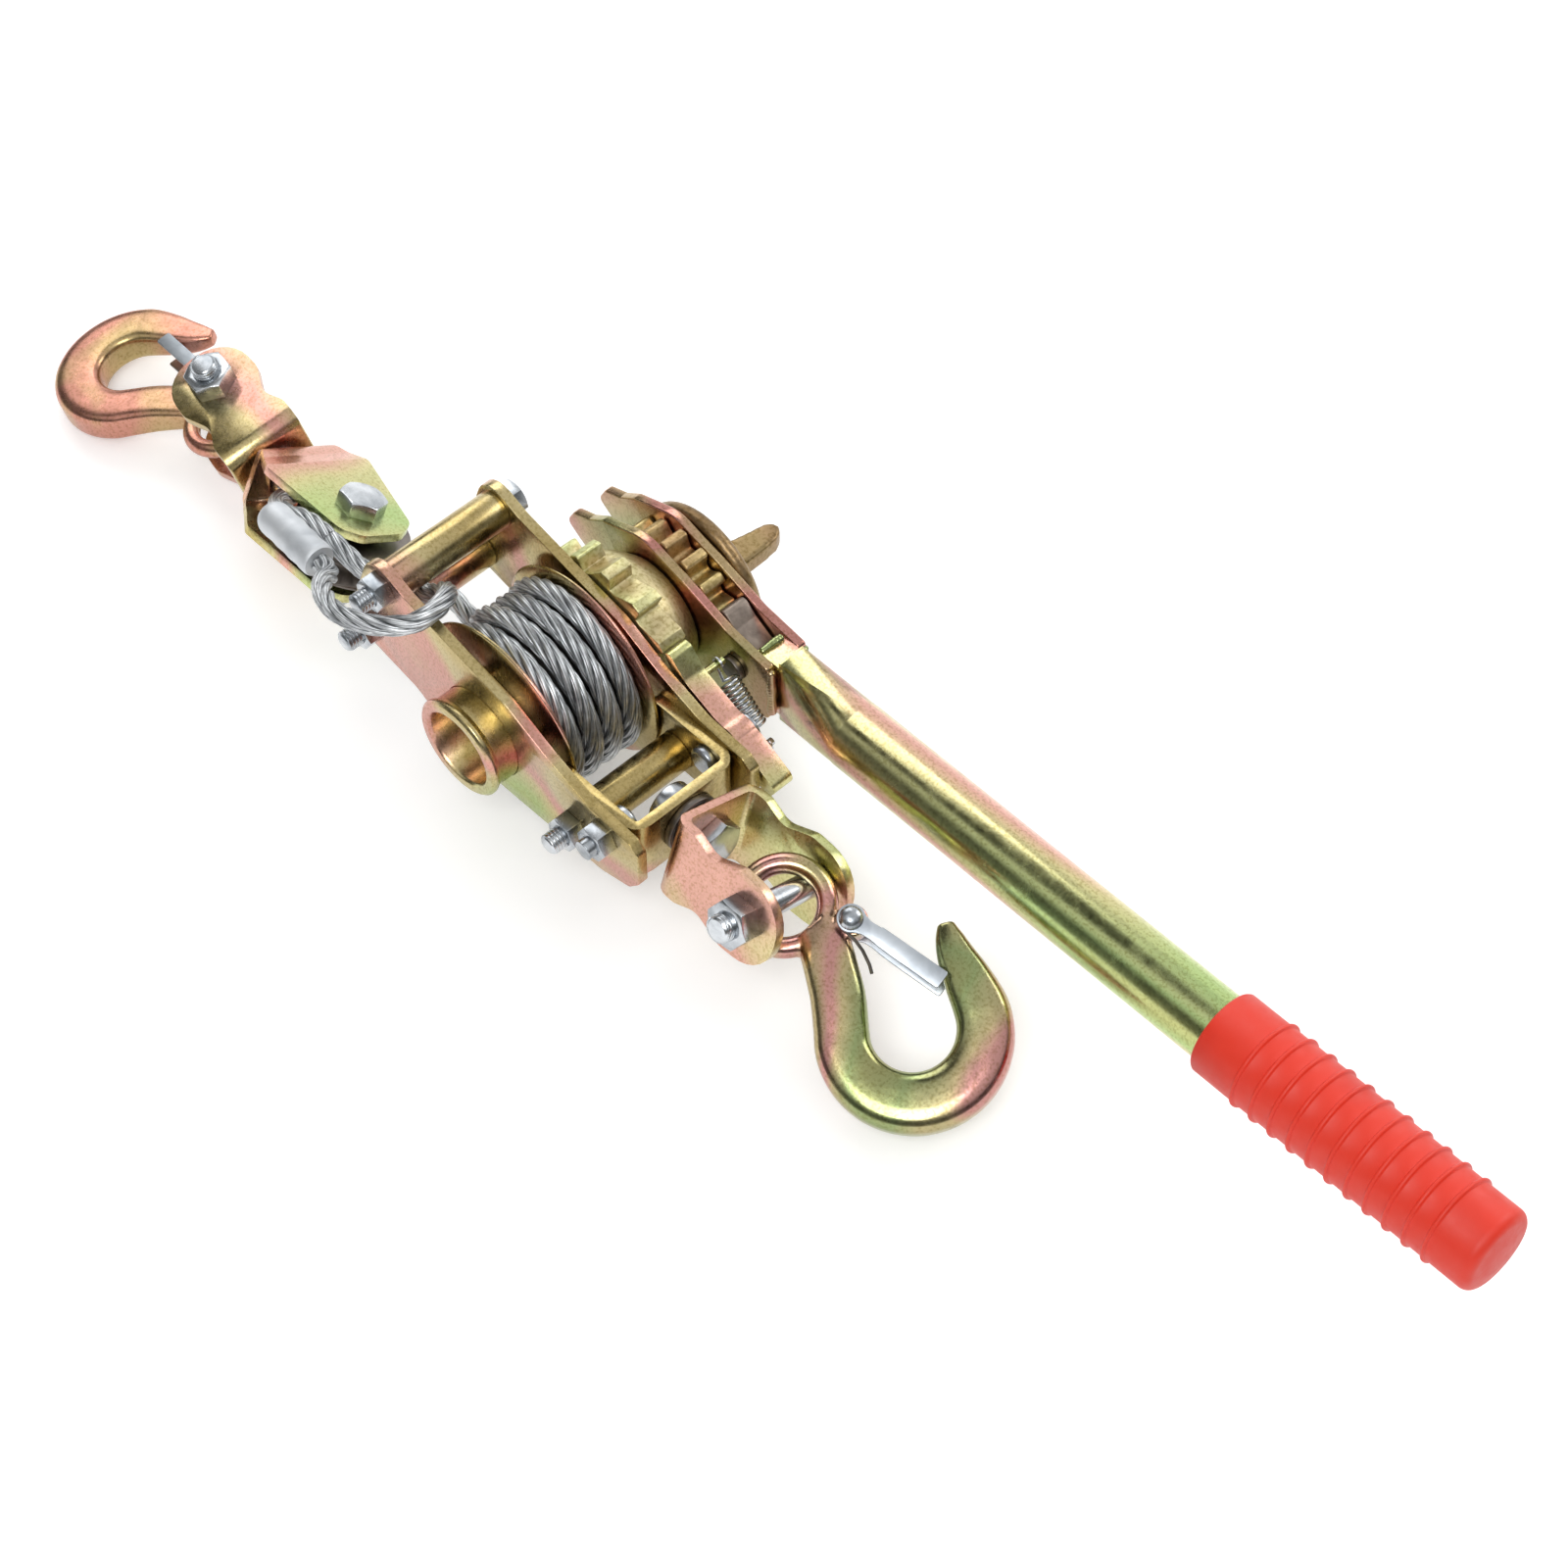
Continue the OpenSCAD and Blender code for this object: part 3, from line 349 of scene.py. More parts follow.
@dataclass(frozen=True)
class PlainMetal:
    """Bright zinc, plain steel or aluminium: a grey metal with fine grain and dull patches."""

    name: str
    light: str
    dark: str
    roughness: float
    grain_mm: float = 1.0
    depth_mm: float = 0.012
    patch_mm: float = 8.0

    def build(self) -> Any:
        """Makes the material."""
        made, tree, shader = new_material(self.name)
        where = object_place(tree)
        patch = noise(tree, where, self.patch_mm, 4, 0.6, 0.4)
        grain = noise(tree, where, self.grain_mm, 3, 0.6)
        shade = ramp(tree, patch, [(0.34, self.dark), (0.6, self.light)])
        rough = spread(tree, patch, (0.3, 0.7), (self.roughness + 0.08, self.roughness - 0.05))
        normal = bumped(tree, grain, self.depth_mm, bumped(tree, patch, self.depth_mm * 3))
        dressed(tree, shader, shade, rough, normal, 1.0)
        return made


@dataclass(frozen=True)
class WireRope:
    """Galvanised wire rope: grey drawn wires, with painted shade in the grooves between the wires
    and in the valleys between the strands.

    Reads the strand's own attribute "wire", whose whole numbers fall between two wires, and
    the valley mask, which is 1 where strands touch and says where the painted shade goes.
    """

    name: str
    light: str = "#D6D9DB"
    dark: str = "#8E9194"
    valley_shade: str = "#3E3F41"
    wire_depth_mm: float = 0.24
    roughness: float = 0.34

    def build(self) -> Any:
        """Makes the material."""
        made, tree, shader = new_material(self.name)
        wire = add(tree, "ShaderNodeAttribute", attribute_name="wire").outputs["Fac"]
        deep = add(tree, "ShaderNodeAttribute", attribute_name="valley_shade").outputs["Fac"]
        inside = maths(tree, "FRACT", wire)
        across = maths(tree, "ABSOLUTE", maths(tree, "SUBTRACT", inside, 0.5))
        off_crown = maths(tree, "POWER", maths(tree, "MULTIPLY", across, 2.0), 2.4)
        crown = maths(tree, "SUBTRACT", 1.0, off_crown)
        where = object_place(tree)
        patch = noise(tree, where, 5, 4, 0.6)
        shade = ramp(tree, patch, [(0.32, self.dark), (0.62, self.light)])
        # Painted shade: each wire's colour darkens towards its sides, in the grooves between the wires.
        wire_groove_shade = ramp(tree, crown, [(0.05, "#5A5A5A"), (0.5, "#FFFFFF")])
        shade = mixed(tree, 1.0, shade, wire_groove_shade, "MULTIPLY")
        # Painted shade: a near-black grey laid over the colour where the strands touch.
        shade = mixed(tree, maths(tree, "MULTIPLY", deep, 0.85), shade, linear(self.valley_shade))
        normal = bumped(tree, crown, self.wire_depth_mm)
        normal = bumped(tree, noise(tree, where, 0.8, 3), 0.02, normal)
        rough = spread(tree, patch, (0.3, 0.7), (self.roughness + 0.1, self.roughness - 0.04))
        dressed(tree, shader, shade, rough, normal, 0.9)
        return made


@dataclass(frozen=True)
class VinylGrip:
    """Soft dipped vinyl: saturated, slightly translucent, with a faint orange-peel skin."""

    name: str
    colour: str = "#DE321B"
    deep: str = "#CE2915"
    roughness: float = 0.48

    def build(self) -> Any:
        """Makes the material."""
        made, tree, shader = new_material(self.name)
        where = object_place(tree)
        patch = noise(tree, where, 18, 3, 0.5)
        shade = ramp(tree, patch, [(0.3, self.deep), (0.55, self.colour)])
        scuff = noise(tree, where, 2.2, 5, 0.65)
        rough = spread(tree, scuff, (0.35, 0.7), (self.roughness - 0.04, self.roughness + 0.1))
        normal = bumped(tree, noise(tree, where, 1.4, 3, 0.5), 0.03, bumped(tree, patch, 0.15))
        dressed(tree, shader, shade, rough, normal, 0.0)
        shader.inputs["IOR"].default_value = 1.52
        shader.inputs["Subsurface Weight"].default_value = 0.06
        shader.inputs["Subsurface Radius"].default_value = (1.0, 0.25, 0.1)
        shader.inputs["Subsurface Scale"].default_value = 0.002
        return made


class Finishes:
    """All finishes of the winch, each made once."""

    def __init__(self) -> None:
        """Makes every material."""
        self.plate = YellowZinc("yellow_zinc_plate", film_shift=-0.01, cloud_mm=60,
                                tone=(0.85, 0.79, 0.81)).build()
        self.hook = YellowZinc("yellow_zinc_forging", gold="#B3A56C", straw="#CFC48E", green="#A6BB7C",
                               film_shift=0.08, cloud_mm=34, roughness=0.2, shift=(0.4, 0.8, 0.1),
                               tone=(0.74, 0.68, 0.76)).build()
        self.rosy_hook = YellowZinc("rosy_zinc_forging", film_shift=0.04, rose_width=0.09, cloud_mm=38,
                                    roughness=0.27, shift=(0.2, 0.5, 0.9),
                                    tone=(0.78, 0.66, 0.62)).build()
        self.rose = YellowZinc("rosy_zinc_sheet", film_shift=0.03, rose_width=0.06, cloud_mm=48,
                               roughness=0.27, shift=(1.2, 0.3, 0.7)).build()
        self.cheek = YellowZinc("yellow_zinc_cheek", film_shift=0.05, rose_width=0.05, cloud_mm=40,
                                roughness=0.2, shift=(0.7, 0.2, 1.3), tone=(0.72, 0.60, 0.64)).build()
        self.tube = YellowZinc("yellow_zinc_tube", film_shift=0.05, cloud_mm=17, roughness=0.2,
                               stretch=(0.10, 1, 1), shift=(0.2, 2.3, 0.4)).build()
        self.cast = CastZinc("yellow_zinc_casting").build()
        self.ratchet = CastZinc("yellow_zinc_ratchet", light="#CFD09A", dark="#CDBE94",
                                olive="#BDCE92").build()
        self.knob = CastZinc("yellow_zinc_knob", light="#977F5E", dark="#7F684A", olive="#8B7A55").build()
        self.zinc = PlainMetal("bright_zinc", "#CFD3D7", "#8F959B", 0.24).build()
        self.latch = PlainMetal("zinc_spring_sheet", "#BCC2C8", "#8A9198", 0.36, 1.0, 0.02, 12).build()
        self.steel = PlainMetal("plain_steel", "#7F7872", "#544F4B", 0.38, 1.2, 0.03).build()
        self.pawl = PlainMetal("taupe_casting", "#A2958A", "#6F655D", 0.46, 1.0, 0.08).build()
        self.alloy = PlainMetal("pressed_aluminium", "#D4D7DA", "#BCC0C4", 0.62, 1.6, 0.03, 9).build()
        # Painted shade: the rope layer under the outer turns is the same galvanised wire, coloured near
        # black as if in shade.
        self.inner = PlainMetal("painted_shade_inner_wire", "#55524E", "#2E2C2A", 0.5, 1.0, 0.05).build()
        self.rope = WireRope("galvanised_wire").build()
        self.vinyl = VinylGrip("red_vinyl").build()


# ---------------------------------------------------------------- mesh helpers


def place(obj: Any, body: Body, material: Any, slot: str, *nodes: str) -> None:
    """Puts a finished piece on its body with its material, and hides the CAD nodes it stands for.

    Args:
        obj: The piece, in the row's frame.
        body: The body it rides on.
        material: Its material, or None to keep its own.
        slot: The record's slot its finish comes from; not used.
        nodes: CAD nodes that it stands for.
    """
    if material is not None:
        obj.data.materials.clear()
        obj.data.materials.append(material)
    if nodes:
        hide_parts(*nodes)
    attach(obj, body.value)
    LOG.info("%s on %s, %d faces", obj.name, body.value, len(obj.data.polygons))


def bend(obj: Any, node: str, bodies: tuple[Body, Body], ends: tuple[Any, Any]) -> None:
    """Hides the node that a flexible piece stands for, bakes the piece's place into its mesh and logs the
    bodies it runs between.

    Args:
        obj: The piece, in the row's frame.
        node: CAD node that it stands for.
        bodies: The bodies it runs between, named in the log.
        ends: Where it leaves each of them, in millimetres.
    """
    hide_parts(node)
    start, end = (tuple(np.array(at, float) * MM) for at in ends)
    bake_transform(obj)
    LOG.info("%s bends from %s to %s", obj.name, bodies[0].value, bodies[1].value)


def new_object(name: str, data: Any) -> Any:
    """Links a mesh, camera or lamp into the scene as a new object at the origin."""
    obj = bpy.data.objects.new(name, data)
    bpy.context.scene.collection.objects.link(obj)
    return obj


def frozen(obj: Any, name: str) -> Any:
    """Turns an object with modifiers to a plain mesh object.

    Args:
        obj: The object to evaluate; it is removed.
        name: Name of the plain one.

    Returns:
        The plain mesh object.
    """
    bpy.context.view_layer.update()
    graph = bpy.context.evaluated_depsgraph_get()
    mesh = bpy.data.meshes.new_from_object(obj.evaluated_get(graph))
    old = obj.data
    bpy.data.objects.remove(obj)
    if old.users == 0:
        bpy.data.meshes.remove(old)
    return new_object(name, mesh)


@contextmanager
def edited(mesh: Any) -> Iterator[Any]:
    """Opens a mesh as a bmesh and writes it back at the end.

    Args:
        mesh: The mesh.

    Yields:
        The bmesh.
    """
    work = bmesh.new()
    work.from_mesh(mesh)
    yield work
    work.to_mesh(mesh)
    work.free()


def dress(node: str, name: str, body: Body, material: Any, slot: str, width_mm: float = 0.4,
          steps: int = 2, angle: float = 32) -> None:
    """Puts a finished, soft-edged copy of a CAD node in its place.

    Args:
        node: The CAD node.
        name: Name of the new piece.
        body: The body it rides on.
        material: Its material.
        slot: The record's slot its finish comes from.
        width_mm: Width of the rounding on its edges.
        steps: Segments across it.
        angle: Edges sharper than this many degrees are rounded.
    """
    raw = new_object(name, merged_copy(node))
    place(rounded_off(raw, name, width_mm, steps, angle), body, material, slot, node)


def smooth_by_angle(mesh: Any, degrees: float) -> None:
    """Shades a mesh smooth, with sharp edges past an angle."""
    mesh.shade_smooth()
    mesh.set_sharp_from_angle(angle=math.radians(degrees))


def merged_copy(node: str) -> Any:
    """Copies a CAD node's mesh with its doubled corners merged and flat faces joined.

    Args:
        node: The CAD node.

    Returns:
        A new mesh.
    """
    source = frame["nodes"][node].data.copy()
    with edited(source) as work:
        bmesh.ops.remove_doubles(work, verts=work.verts, dist=DOUBLED_MM * MM)
        bmesh.ops.dissolve_limit(work, angle_limit=math.radians(FLAT_ANGLE), verts=work.verts,
                                 edges=work.edges)
    return source


def rounded_off(obj: Any, name: str, width_mm: float, steps: int, angle: float = 32) -> Any:
    """Rounds the edges of an object and freezes it.

    Args:
        obj: The object; it is removed.
        name: Name of the new piece.
        width_mm: Width of the rounding.
        steps: Segments across it.
        angle: Edges sharper than this many degrees are rounded.

    Returns:
        The new object.
    """
    cut = obj.modifiers.new("round", "BEVEL")
    cut.width, cut.segments, cut.limit_method = width_mm * MM, steps, "ANGLE"
    cut.angle_limit = math.radians(angle)
    cut.use_clamp_overlap = True
    cut.miter_outer = "MITER_ARC"
    made = frozen(obj, name)
    smooth_by_angle(made.data, SHARP_ANGLE)
    return made


def remeshed(obj: Any, name: str, voxel_mm: float, passes: int) -> Any:
    """Melts a solid into one smooth skin, as a casting or a forging has.

    Args:
        obj: Object whose mesh is closed; it is removed.
        name: Name of the result.
        voxel_mm: Size of the skin's cells.
        passes: Smoothing passes.

    Returns:
        The new object.
    """
    melt = obj.modifiers.new("melt", "REMESH")
    melt.mode, melt.voxel_size, melt.adaptivity = "VOXEL", voxel_mm * MM, 0.0
    soft = obj.modifiers.new("soft", "SMOOTH")
    soft.factor, soft.iterations = 0.5, passes
    made = frozen(obj, name)
    made.data.shade_smooth()
    return made


def ringed(line: np.ndarray, side: Triple, wide: Any, high: Any, steps: int,
           power: float = 1.0) -> np.ndarray:
    """Puts a ring round each point of a line, without twist along it.

    Args:
        line: The line's points.
        side: Direction the first ring's side leans to.
        wide: Half width, one for all or one for each ring.
        high: Half height, likewise.
        steps: Points on a ring.
        power: 1 for an ellipse; less makes it squarer.

    Returns:
        Rings by points by 3.
    """
    ahead = np.gradient(line, axis=0)
    ahead /= np.linalg.norm(ahead, axis=1, keepdims=True)
    sides = np.zeros_like(line)
    last = np.array(side, float)
    for i, way in enumerate(ahead):
        last = last - way * (last @ way)
        last /= np.linalg.norm(last)
        sides[i] = last
    ups = np.cross(ahead, sides)
    angles = np.linspace(0, 2 * math.pi, steps, endpoint=False)
    across, over = (np.sign(w) * np.abs(w) ** power for w in (np.cos(angles), np.sin(angles)))
    out = (np.broadcast_to(wide, len(line))[:, None] * sides)[:, None] * across[None, :, None]
    aloft = (np.broadcast_to(high, len(line))[:, None] * ups)[:, None] * over[None, :, None]
    return line[:, None] + out + aloft


def tube_mesh(name: str, rings: np.ndarray) -> Any:
    """Makes a closed tube from rings of points.

    Args:
        name: The mesh's name.
        rings: Rings by points by 3, in millimetres.

    Returns:
        A new mesh.
    """
    count, sides = rings.shape[:2]
    faces = [
        [i * sides + k, (i + 1) * sides + k, (i + 1) * sides + (k + 1) % sides,
         i * sides + (k + 1) % sides]
        for i in range(count - 1)
        for k in range(sides)
    ]
    faces.append(list(range(sides)))
    faces.append([(count - 1) * sides + k for k in range(sides - 1, -1, -1)])
    mesh = bpy.data.meshes.new(name)
    mesh.from_pydata((rings.reshape(-1, 3) * MM).tolist(), [], faces)
    outward(mesh)
    return mesh


def outward(mesh: Any) -> None:
    """Points every face of a closed mesh outwards."""
    with edited(mesh) as work:
        bmesh.ops.recalc_face_normals(work, faces=work.faces)


def turned(name: str, profile: list[tuple[float, float]], steps: int) -> Any:
    """Turns a line of radius and station about the X axis and closes its ends.

    Args:
        name: The mesh's name.
        profile: Radius and station in millimetres, from one end to the other.
        steps: Sides round the axis.

    Returns:
        A new mesh.
    """
    angles = np.linspace(0, 2 * math.pi, steps, endpoint=False)
    rings = [[[s, r * math.cos(a), r * math.sin(a)] for a in angles] for r, s in profile]
    return tube_mesh(name, np.array(rings))


def add_slab(work: Any, outline: list[tuple[float, float]], low: float, high: float) -> None:
    """Adds a flat plate with an outline in X and Y to a bmesh, in millimetres.

    Args:
        work: The bmesh.
        outline: The outline's corners.
        low: Z of its underside.
        high: Z of its top.
    """
    under, over = ([work.verts.new(Vector((x, y, z)) * MM) for x, y in outline] for z in (low, high))
    for i in range(len(outline)):
        k = (i + 1) % len(outline)
        work.faces.new((under[i], under[k], over[k], over[i]))
    work.faces.new(over)
    work.faces.new(under[::-1])


def solids_of(node: str) -> list[np.ndarray]:
    """Splits a CAD node into its separate solids.

    Args:
        node: The CAD node.

    Returns:
        One array of corners for each solid, in millimetres.
    """
    mesh = merged_copy(node)
    work = bmesh.new()
    work.from_mesh(mesh)
    bpy.data.meshes.remove(mesh)
    found, seen = [], set()
    for first in work.verts:
        if first.index in seen:
            continue
        seen.add(first.index)
        heap, part = [first], []
        while heap:
            one = heap.pop()
            part.append(one.co / MM)
            for edge in one.link_edges:
                other = edge.other_vert(one)
                if other.index not in seen:
                    seen.add(other.index)
                    heap.append(other)
        found.append(np.array(part))
    work.free()
    return found


def joint_way(name: str) -> np.ndarray:
    """Returns the axis of a joint of the frame."""
    return np.array(next(j["axis"] for j in frame["joints"] if j["name"] == name), float)


def placed(at: Triple, *turns: tuple[str, float]) -> Matrix:
    """Works out a place from a shift and turns about the axes, the first outermost.

    Args:
        at: The shift in millimetres.
        turns: Axis letter and degrees.

    Returns:
        A 4 by 4 matrix.
    """
    made = np.eye(3)
    for axis, degrees in turns:
        made = made @ np.array(Matrix.Rotation(math.radians(degrees), 3, axis))
    return Matrix.Translation(Vector(at) * MM) @ Matrix(made.tolist()).to_4x4()


def through(points: np.ndarray, per: int) -> np.ndarray:
    """Runs a smooth route through given points.

    Args:
        points: The points, in millimetres.
        per: Steps between two of them.

    Returns:
        The route's points.
    """
    grown = np.vstack([points[:1], points, points[-1:]])
    made = []
    for i in range(len(points) - 1):
        a, b, c, d = grown[i : i + 4]
        for t in np.arange(per) / per:
            made.append(0.5 * (2 * b + (c - a) * t + (2 * a - 5 * b + 4 * c - d) * t**2
                               + (3 * b - a - 3 * c + d) * t**3))
    made.append(points[-1])
    return np.array(made)


def respaced(points: np.ndarray, step_mm: float) -> np.ndarray:
    """Spreads points evenly along a line.

    Args:
        points: The line.
        step_mm: Distance between the new points.

    Returns:
        The evenly spaced points.
    """
    run = np.concatenate([[0], np.cumsum(np.linalg.norm(np.diff(points, axis=0), axis=1))])
    stops = np.linspace(0, run[-1], max(2, int(round(run[-1] / step_mm)) + 1))
    return np.stack([np.interp(stops, run, points[:, k]) for k in range(3)], axis=1)


# ---------------------------------------------------------------- geometry nodes


class Recipe:
    """A Geometry Nodes tree with named inputs, run on an object and frozen to a mesh."""

    def __init__(self, name: str, inputs: dict[str, tuple[str, Any]]) -> None:
        """Starts a tree.

        Args:
            name: The tree's name.
            inputs: Input name to its socket type and value.
        """
        self.tree = bpy.data.node_groups.new(name, "GeometryNodeTree")
        for way in ("INPUT", "OUTPUT"):
            self.tree.interface.new_socket("Geometry", in_out=way, socket_type="NodeSocketGeometry")
        self.values = {key: value for key, (_, value) in inputs.items()}
        for key, (kind, _) in inputs.items():
            self.tree.interface.new_socket(key, in_out="INPUT", socket_type=kind)
        self.source = add(self.tree, "NodeGroupInput")

    def get(self, name: str) -> Any:
        """Returns one of the tree's input sockets by its name."""
        return self.source.outputs[name]

    def finish(self, geometry: Any) -> None:
        """Ends the tree in Realize Instances and Set Material."""
        real = add(self.tree, "GeometryNodeRealizeInstances", {"Geometry": geometry})
        painted = add(self.tree, "GeometryNodeSetMaterial",
                      {"Geometry": real.outputs[0], "Material": self.get("Material")})
        add(self.tree, "NodeGroupOutput", {"Geometry": painted.outputs[0]})

    def run(self, obj: Any, name: str, **values: Any) -> Any:
        """Runs the tree on an object.

        Args:
            obj: The object it reads; it is removed.
            name: Name of the plain mesh object.
            values: Input values by name, where they differ from the recipe's own.

        Returns:
            The plain mesh object.
        """
        live = obj.modifiers.new("recipe", "NODES")
        live.node_group = self.tree
        wanted = self.values | values
        for item in self.tree.interface.items_tree:
            if item.in_out == "INPUT" and item.name in wanted:
                live[item.identifier] = wanted[item.name]
        return frozen(obj, name)


FLOAT, INT, MAT = "NodeSocketFloat", "NodeSocketInt", "NodeSocketMaterial"


def strand_recipe() -> Recipe:
    """Builds the tree that lays a rope's strands round its own line.

    Returns:
        The recipe; its object is a mesh line that the rope follows.
    """
    made = Recipe("laid_rope", {
        "Strands": (INT, 6), "Lay": (FLOAT, 0.050), "Lay Radius": (FLOAT, 0.00262),
        "Strand Radius": (FLOAT, 0.00138), "Wires": (FLOAT, 6.0), "Wire Lay": (FLOAT, 0.016),
        "Sides": (INT, 10), "Material": (MAT, None),
    })
    tree, get = made.tree, made.get
    line = add(tree, "GeometryNodeMeshToCurve", {"Mesh": get("Geometry")}).outputs[0]
    many = add(tree, "GeometryNodeDuplicateElements",
               {"Geometry": line, "Amount": get("Strands")}, domain="SPLINE")
    along = add(tree, "GeometryNodeSplineParameter").outputs["Length"]
    normal = add(tree, "GeometryNodeInputNormal").outputs[0]
    tangent = add(tree, "GeometryNodeInputTangent").outputs[0]
    share = maths(tree, "DIVIDE", many.outputs["Duplicate Index"], get("Strands"))
    turns = maths(tree, "ADD", maths(tree, "DIVIDE", along, get("Lay")), share)
    angle = maths(tree, "MULTIPLY", turns, 2 * math.pi)
    up = vectors(tree, "CROSS_PRODUCT", tangent, normal)
    out = vectors(tree, "ADD", vectors(tree, "SCALE", normal, scale=maths(tree, "COSINE", angle)),
                  vectors(tree, "SCALE", up, scale=maths(tree, "SINE", angle)))
    kept = add(tree, "GeometryNodeCaptureAttribute", {"Geometry": many.outputs[0]}, domain="POINT")
    kept.capture_items.new("FLOAT", "run")
    kept.capture_items.new("VECTOR", "out")
    tree.links.new(along, kept.inputs["run"])
    tree.links.new(out, kept.inputs["out"])
    moved = add(tree, "GeometryNodeSetPosition", {
        "Geometry": kept.outputs[0], "Offset": vectors(tree, "SCALE", out, scale=get("Lay Radius")),
    }).outputs[0]
    ring = add(tree, "GeometryNodeCurvePrimitiveCircle",
               {"Resolution": get("Sides"), "Radius": get("Strand Radius")}).outputs[0]
    held = add(tree, "GeometryNodeCaptureAttribute", {"Geometry": ring}, domain="POINT")
    held.capture_items.new("FLOAT", "side")
    index = add(tree, "GeometryNodeInputIndex").outputs[0]
    tree.links.new(maths(tree, "DIVIDE", index, get("Sides")), held.inputs["side"])
    skin = add(tree, "GeometryNodeCurveToMesh",
               {"Curve": moved, "Profile Curve": held.outputs[0], "Fill Caps": True}).outputs[0]
    # The valley mask is 1 where a strand's skin faces in towards the rope's middle; the rope's material
    # paints shade there.
    facing = vectors(tree, "DOT_PRODUCT", add(tree, "GeometryNodeInputNormal").outputs[0],
                     kept.outputs["out"])
    wires = maths(tree, "ADD", maths(tree, "MULTIPLY", held.outputs["side"], get("Wires")),
                  maths(tree, "DIVIDE", kept.outputs["run"], get("Wire Lay")))
    for name, value, domain in (("valley_shade", spread(tree, facing, (0.35, -0.25), (0, 1)), "POINT"),
                                ("wire", wires, "CORNER")):
        skin = add(tree, "GeometryNodeStoreNamedAttribute",
                   {"Geometry": skin, "Name": name, "Value": value},
                   data_type="FLOAT", domain=domain).outputs[0]
    made.finish(add(tree, "GeometryNodeSetShadeSmooth", {"Geometry": skin}).outputs[0])
    return made


def thread_recipe() -> Recipe:
    """Builds the tree that puts a screw thread's ridges on bolt ends.

    Returns:
        The recipe; its object has one corner for each bolt end, whose attribute "way" is the
        direction the end points.
    """
    made = Recipe("screw_thread", {
        "Radius": (FLOAT, 0.005), "Pitch": (FLOAT, 0.0015), "Turns": (FLOAT, 4.0),
        "Depth": (FLOAT, 0.0005), "Material": (MAT, None),
    })
    tree, get = made.tree, made.get
    coil = add(tree, "GeometryNodeCurveSpiral", {
        "Resolution": 28, "Rotations": get("Turns"), "Start Radius": get("Radius"),
        "End Radius": get("Radius"), "Height": maths(tree, "MULTIPLY", get("Pitch"), get("Turns")),
    }).outputs[0]
    ridge = add(tree, "GeometryNodeCurvePrimitiveCircle",
                {"Resolution": 4, "Radius": get("Depth")}).outputs[0]
    skin = add(tree, "GeometryNodeCurveToMesh",
               {"Curve": coil, "Profile Curve": ridge, "Fill Caps": True}).outputs[0]
    points = add(tree, "GeometryNodeMeshToPoints", {"Mesh": get("Geometry")}).outputs[0]
    way = add(tree, "GeometryNodeInputNamedAttribute", {"Name": "way"},
              data_type="FLOAT_VECTOR").outputs[0]
    turn = add(tree, "FunctionNodeAlignRotationToVector", {"Vector": way}, axis="Z").outputs[0]
    copies = add(tree, "GeometryNodeInstanceOnPoints",
                 {"Points": points, "Instance": skin, "Rotation": turn}).outputs[0]
    made.finish(add(tree, "GeometryNodeSetShadeSmooth", {"Geometry": copies}).outputs[0])
    return made


# ---------------------------------------------------------------- studio


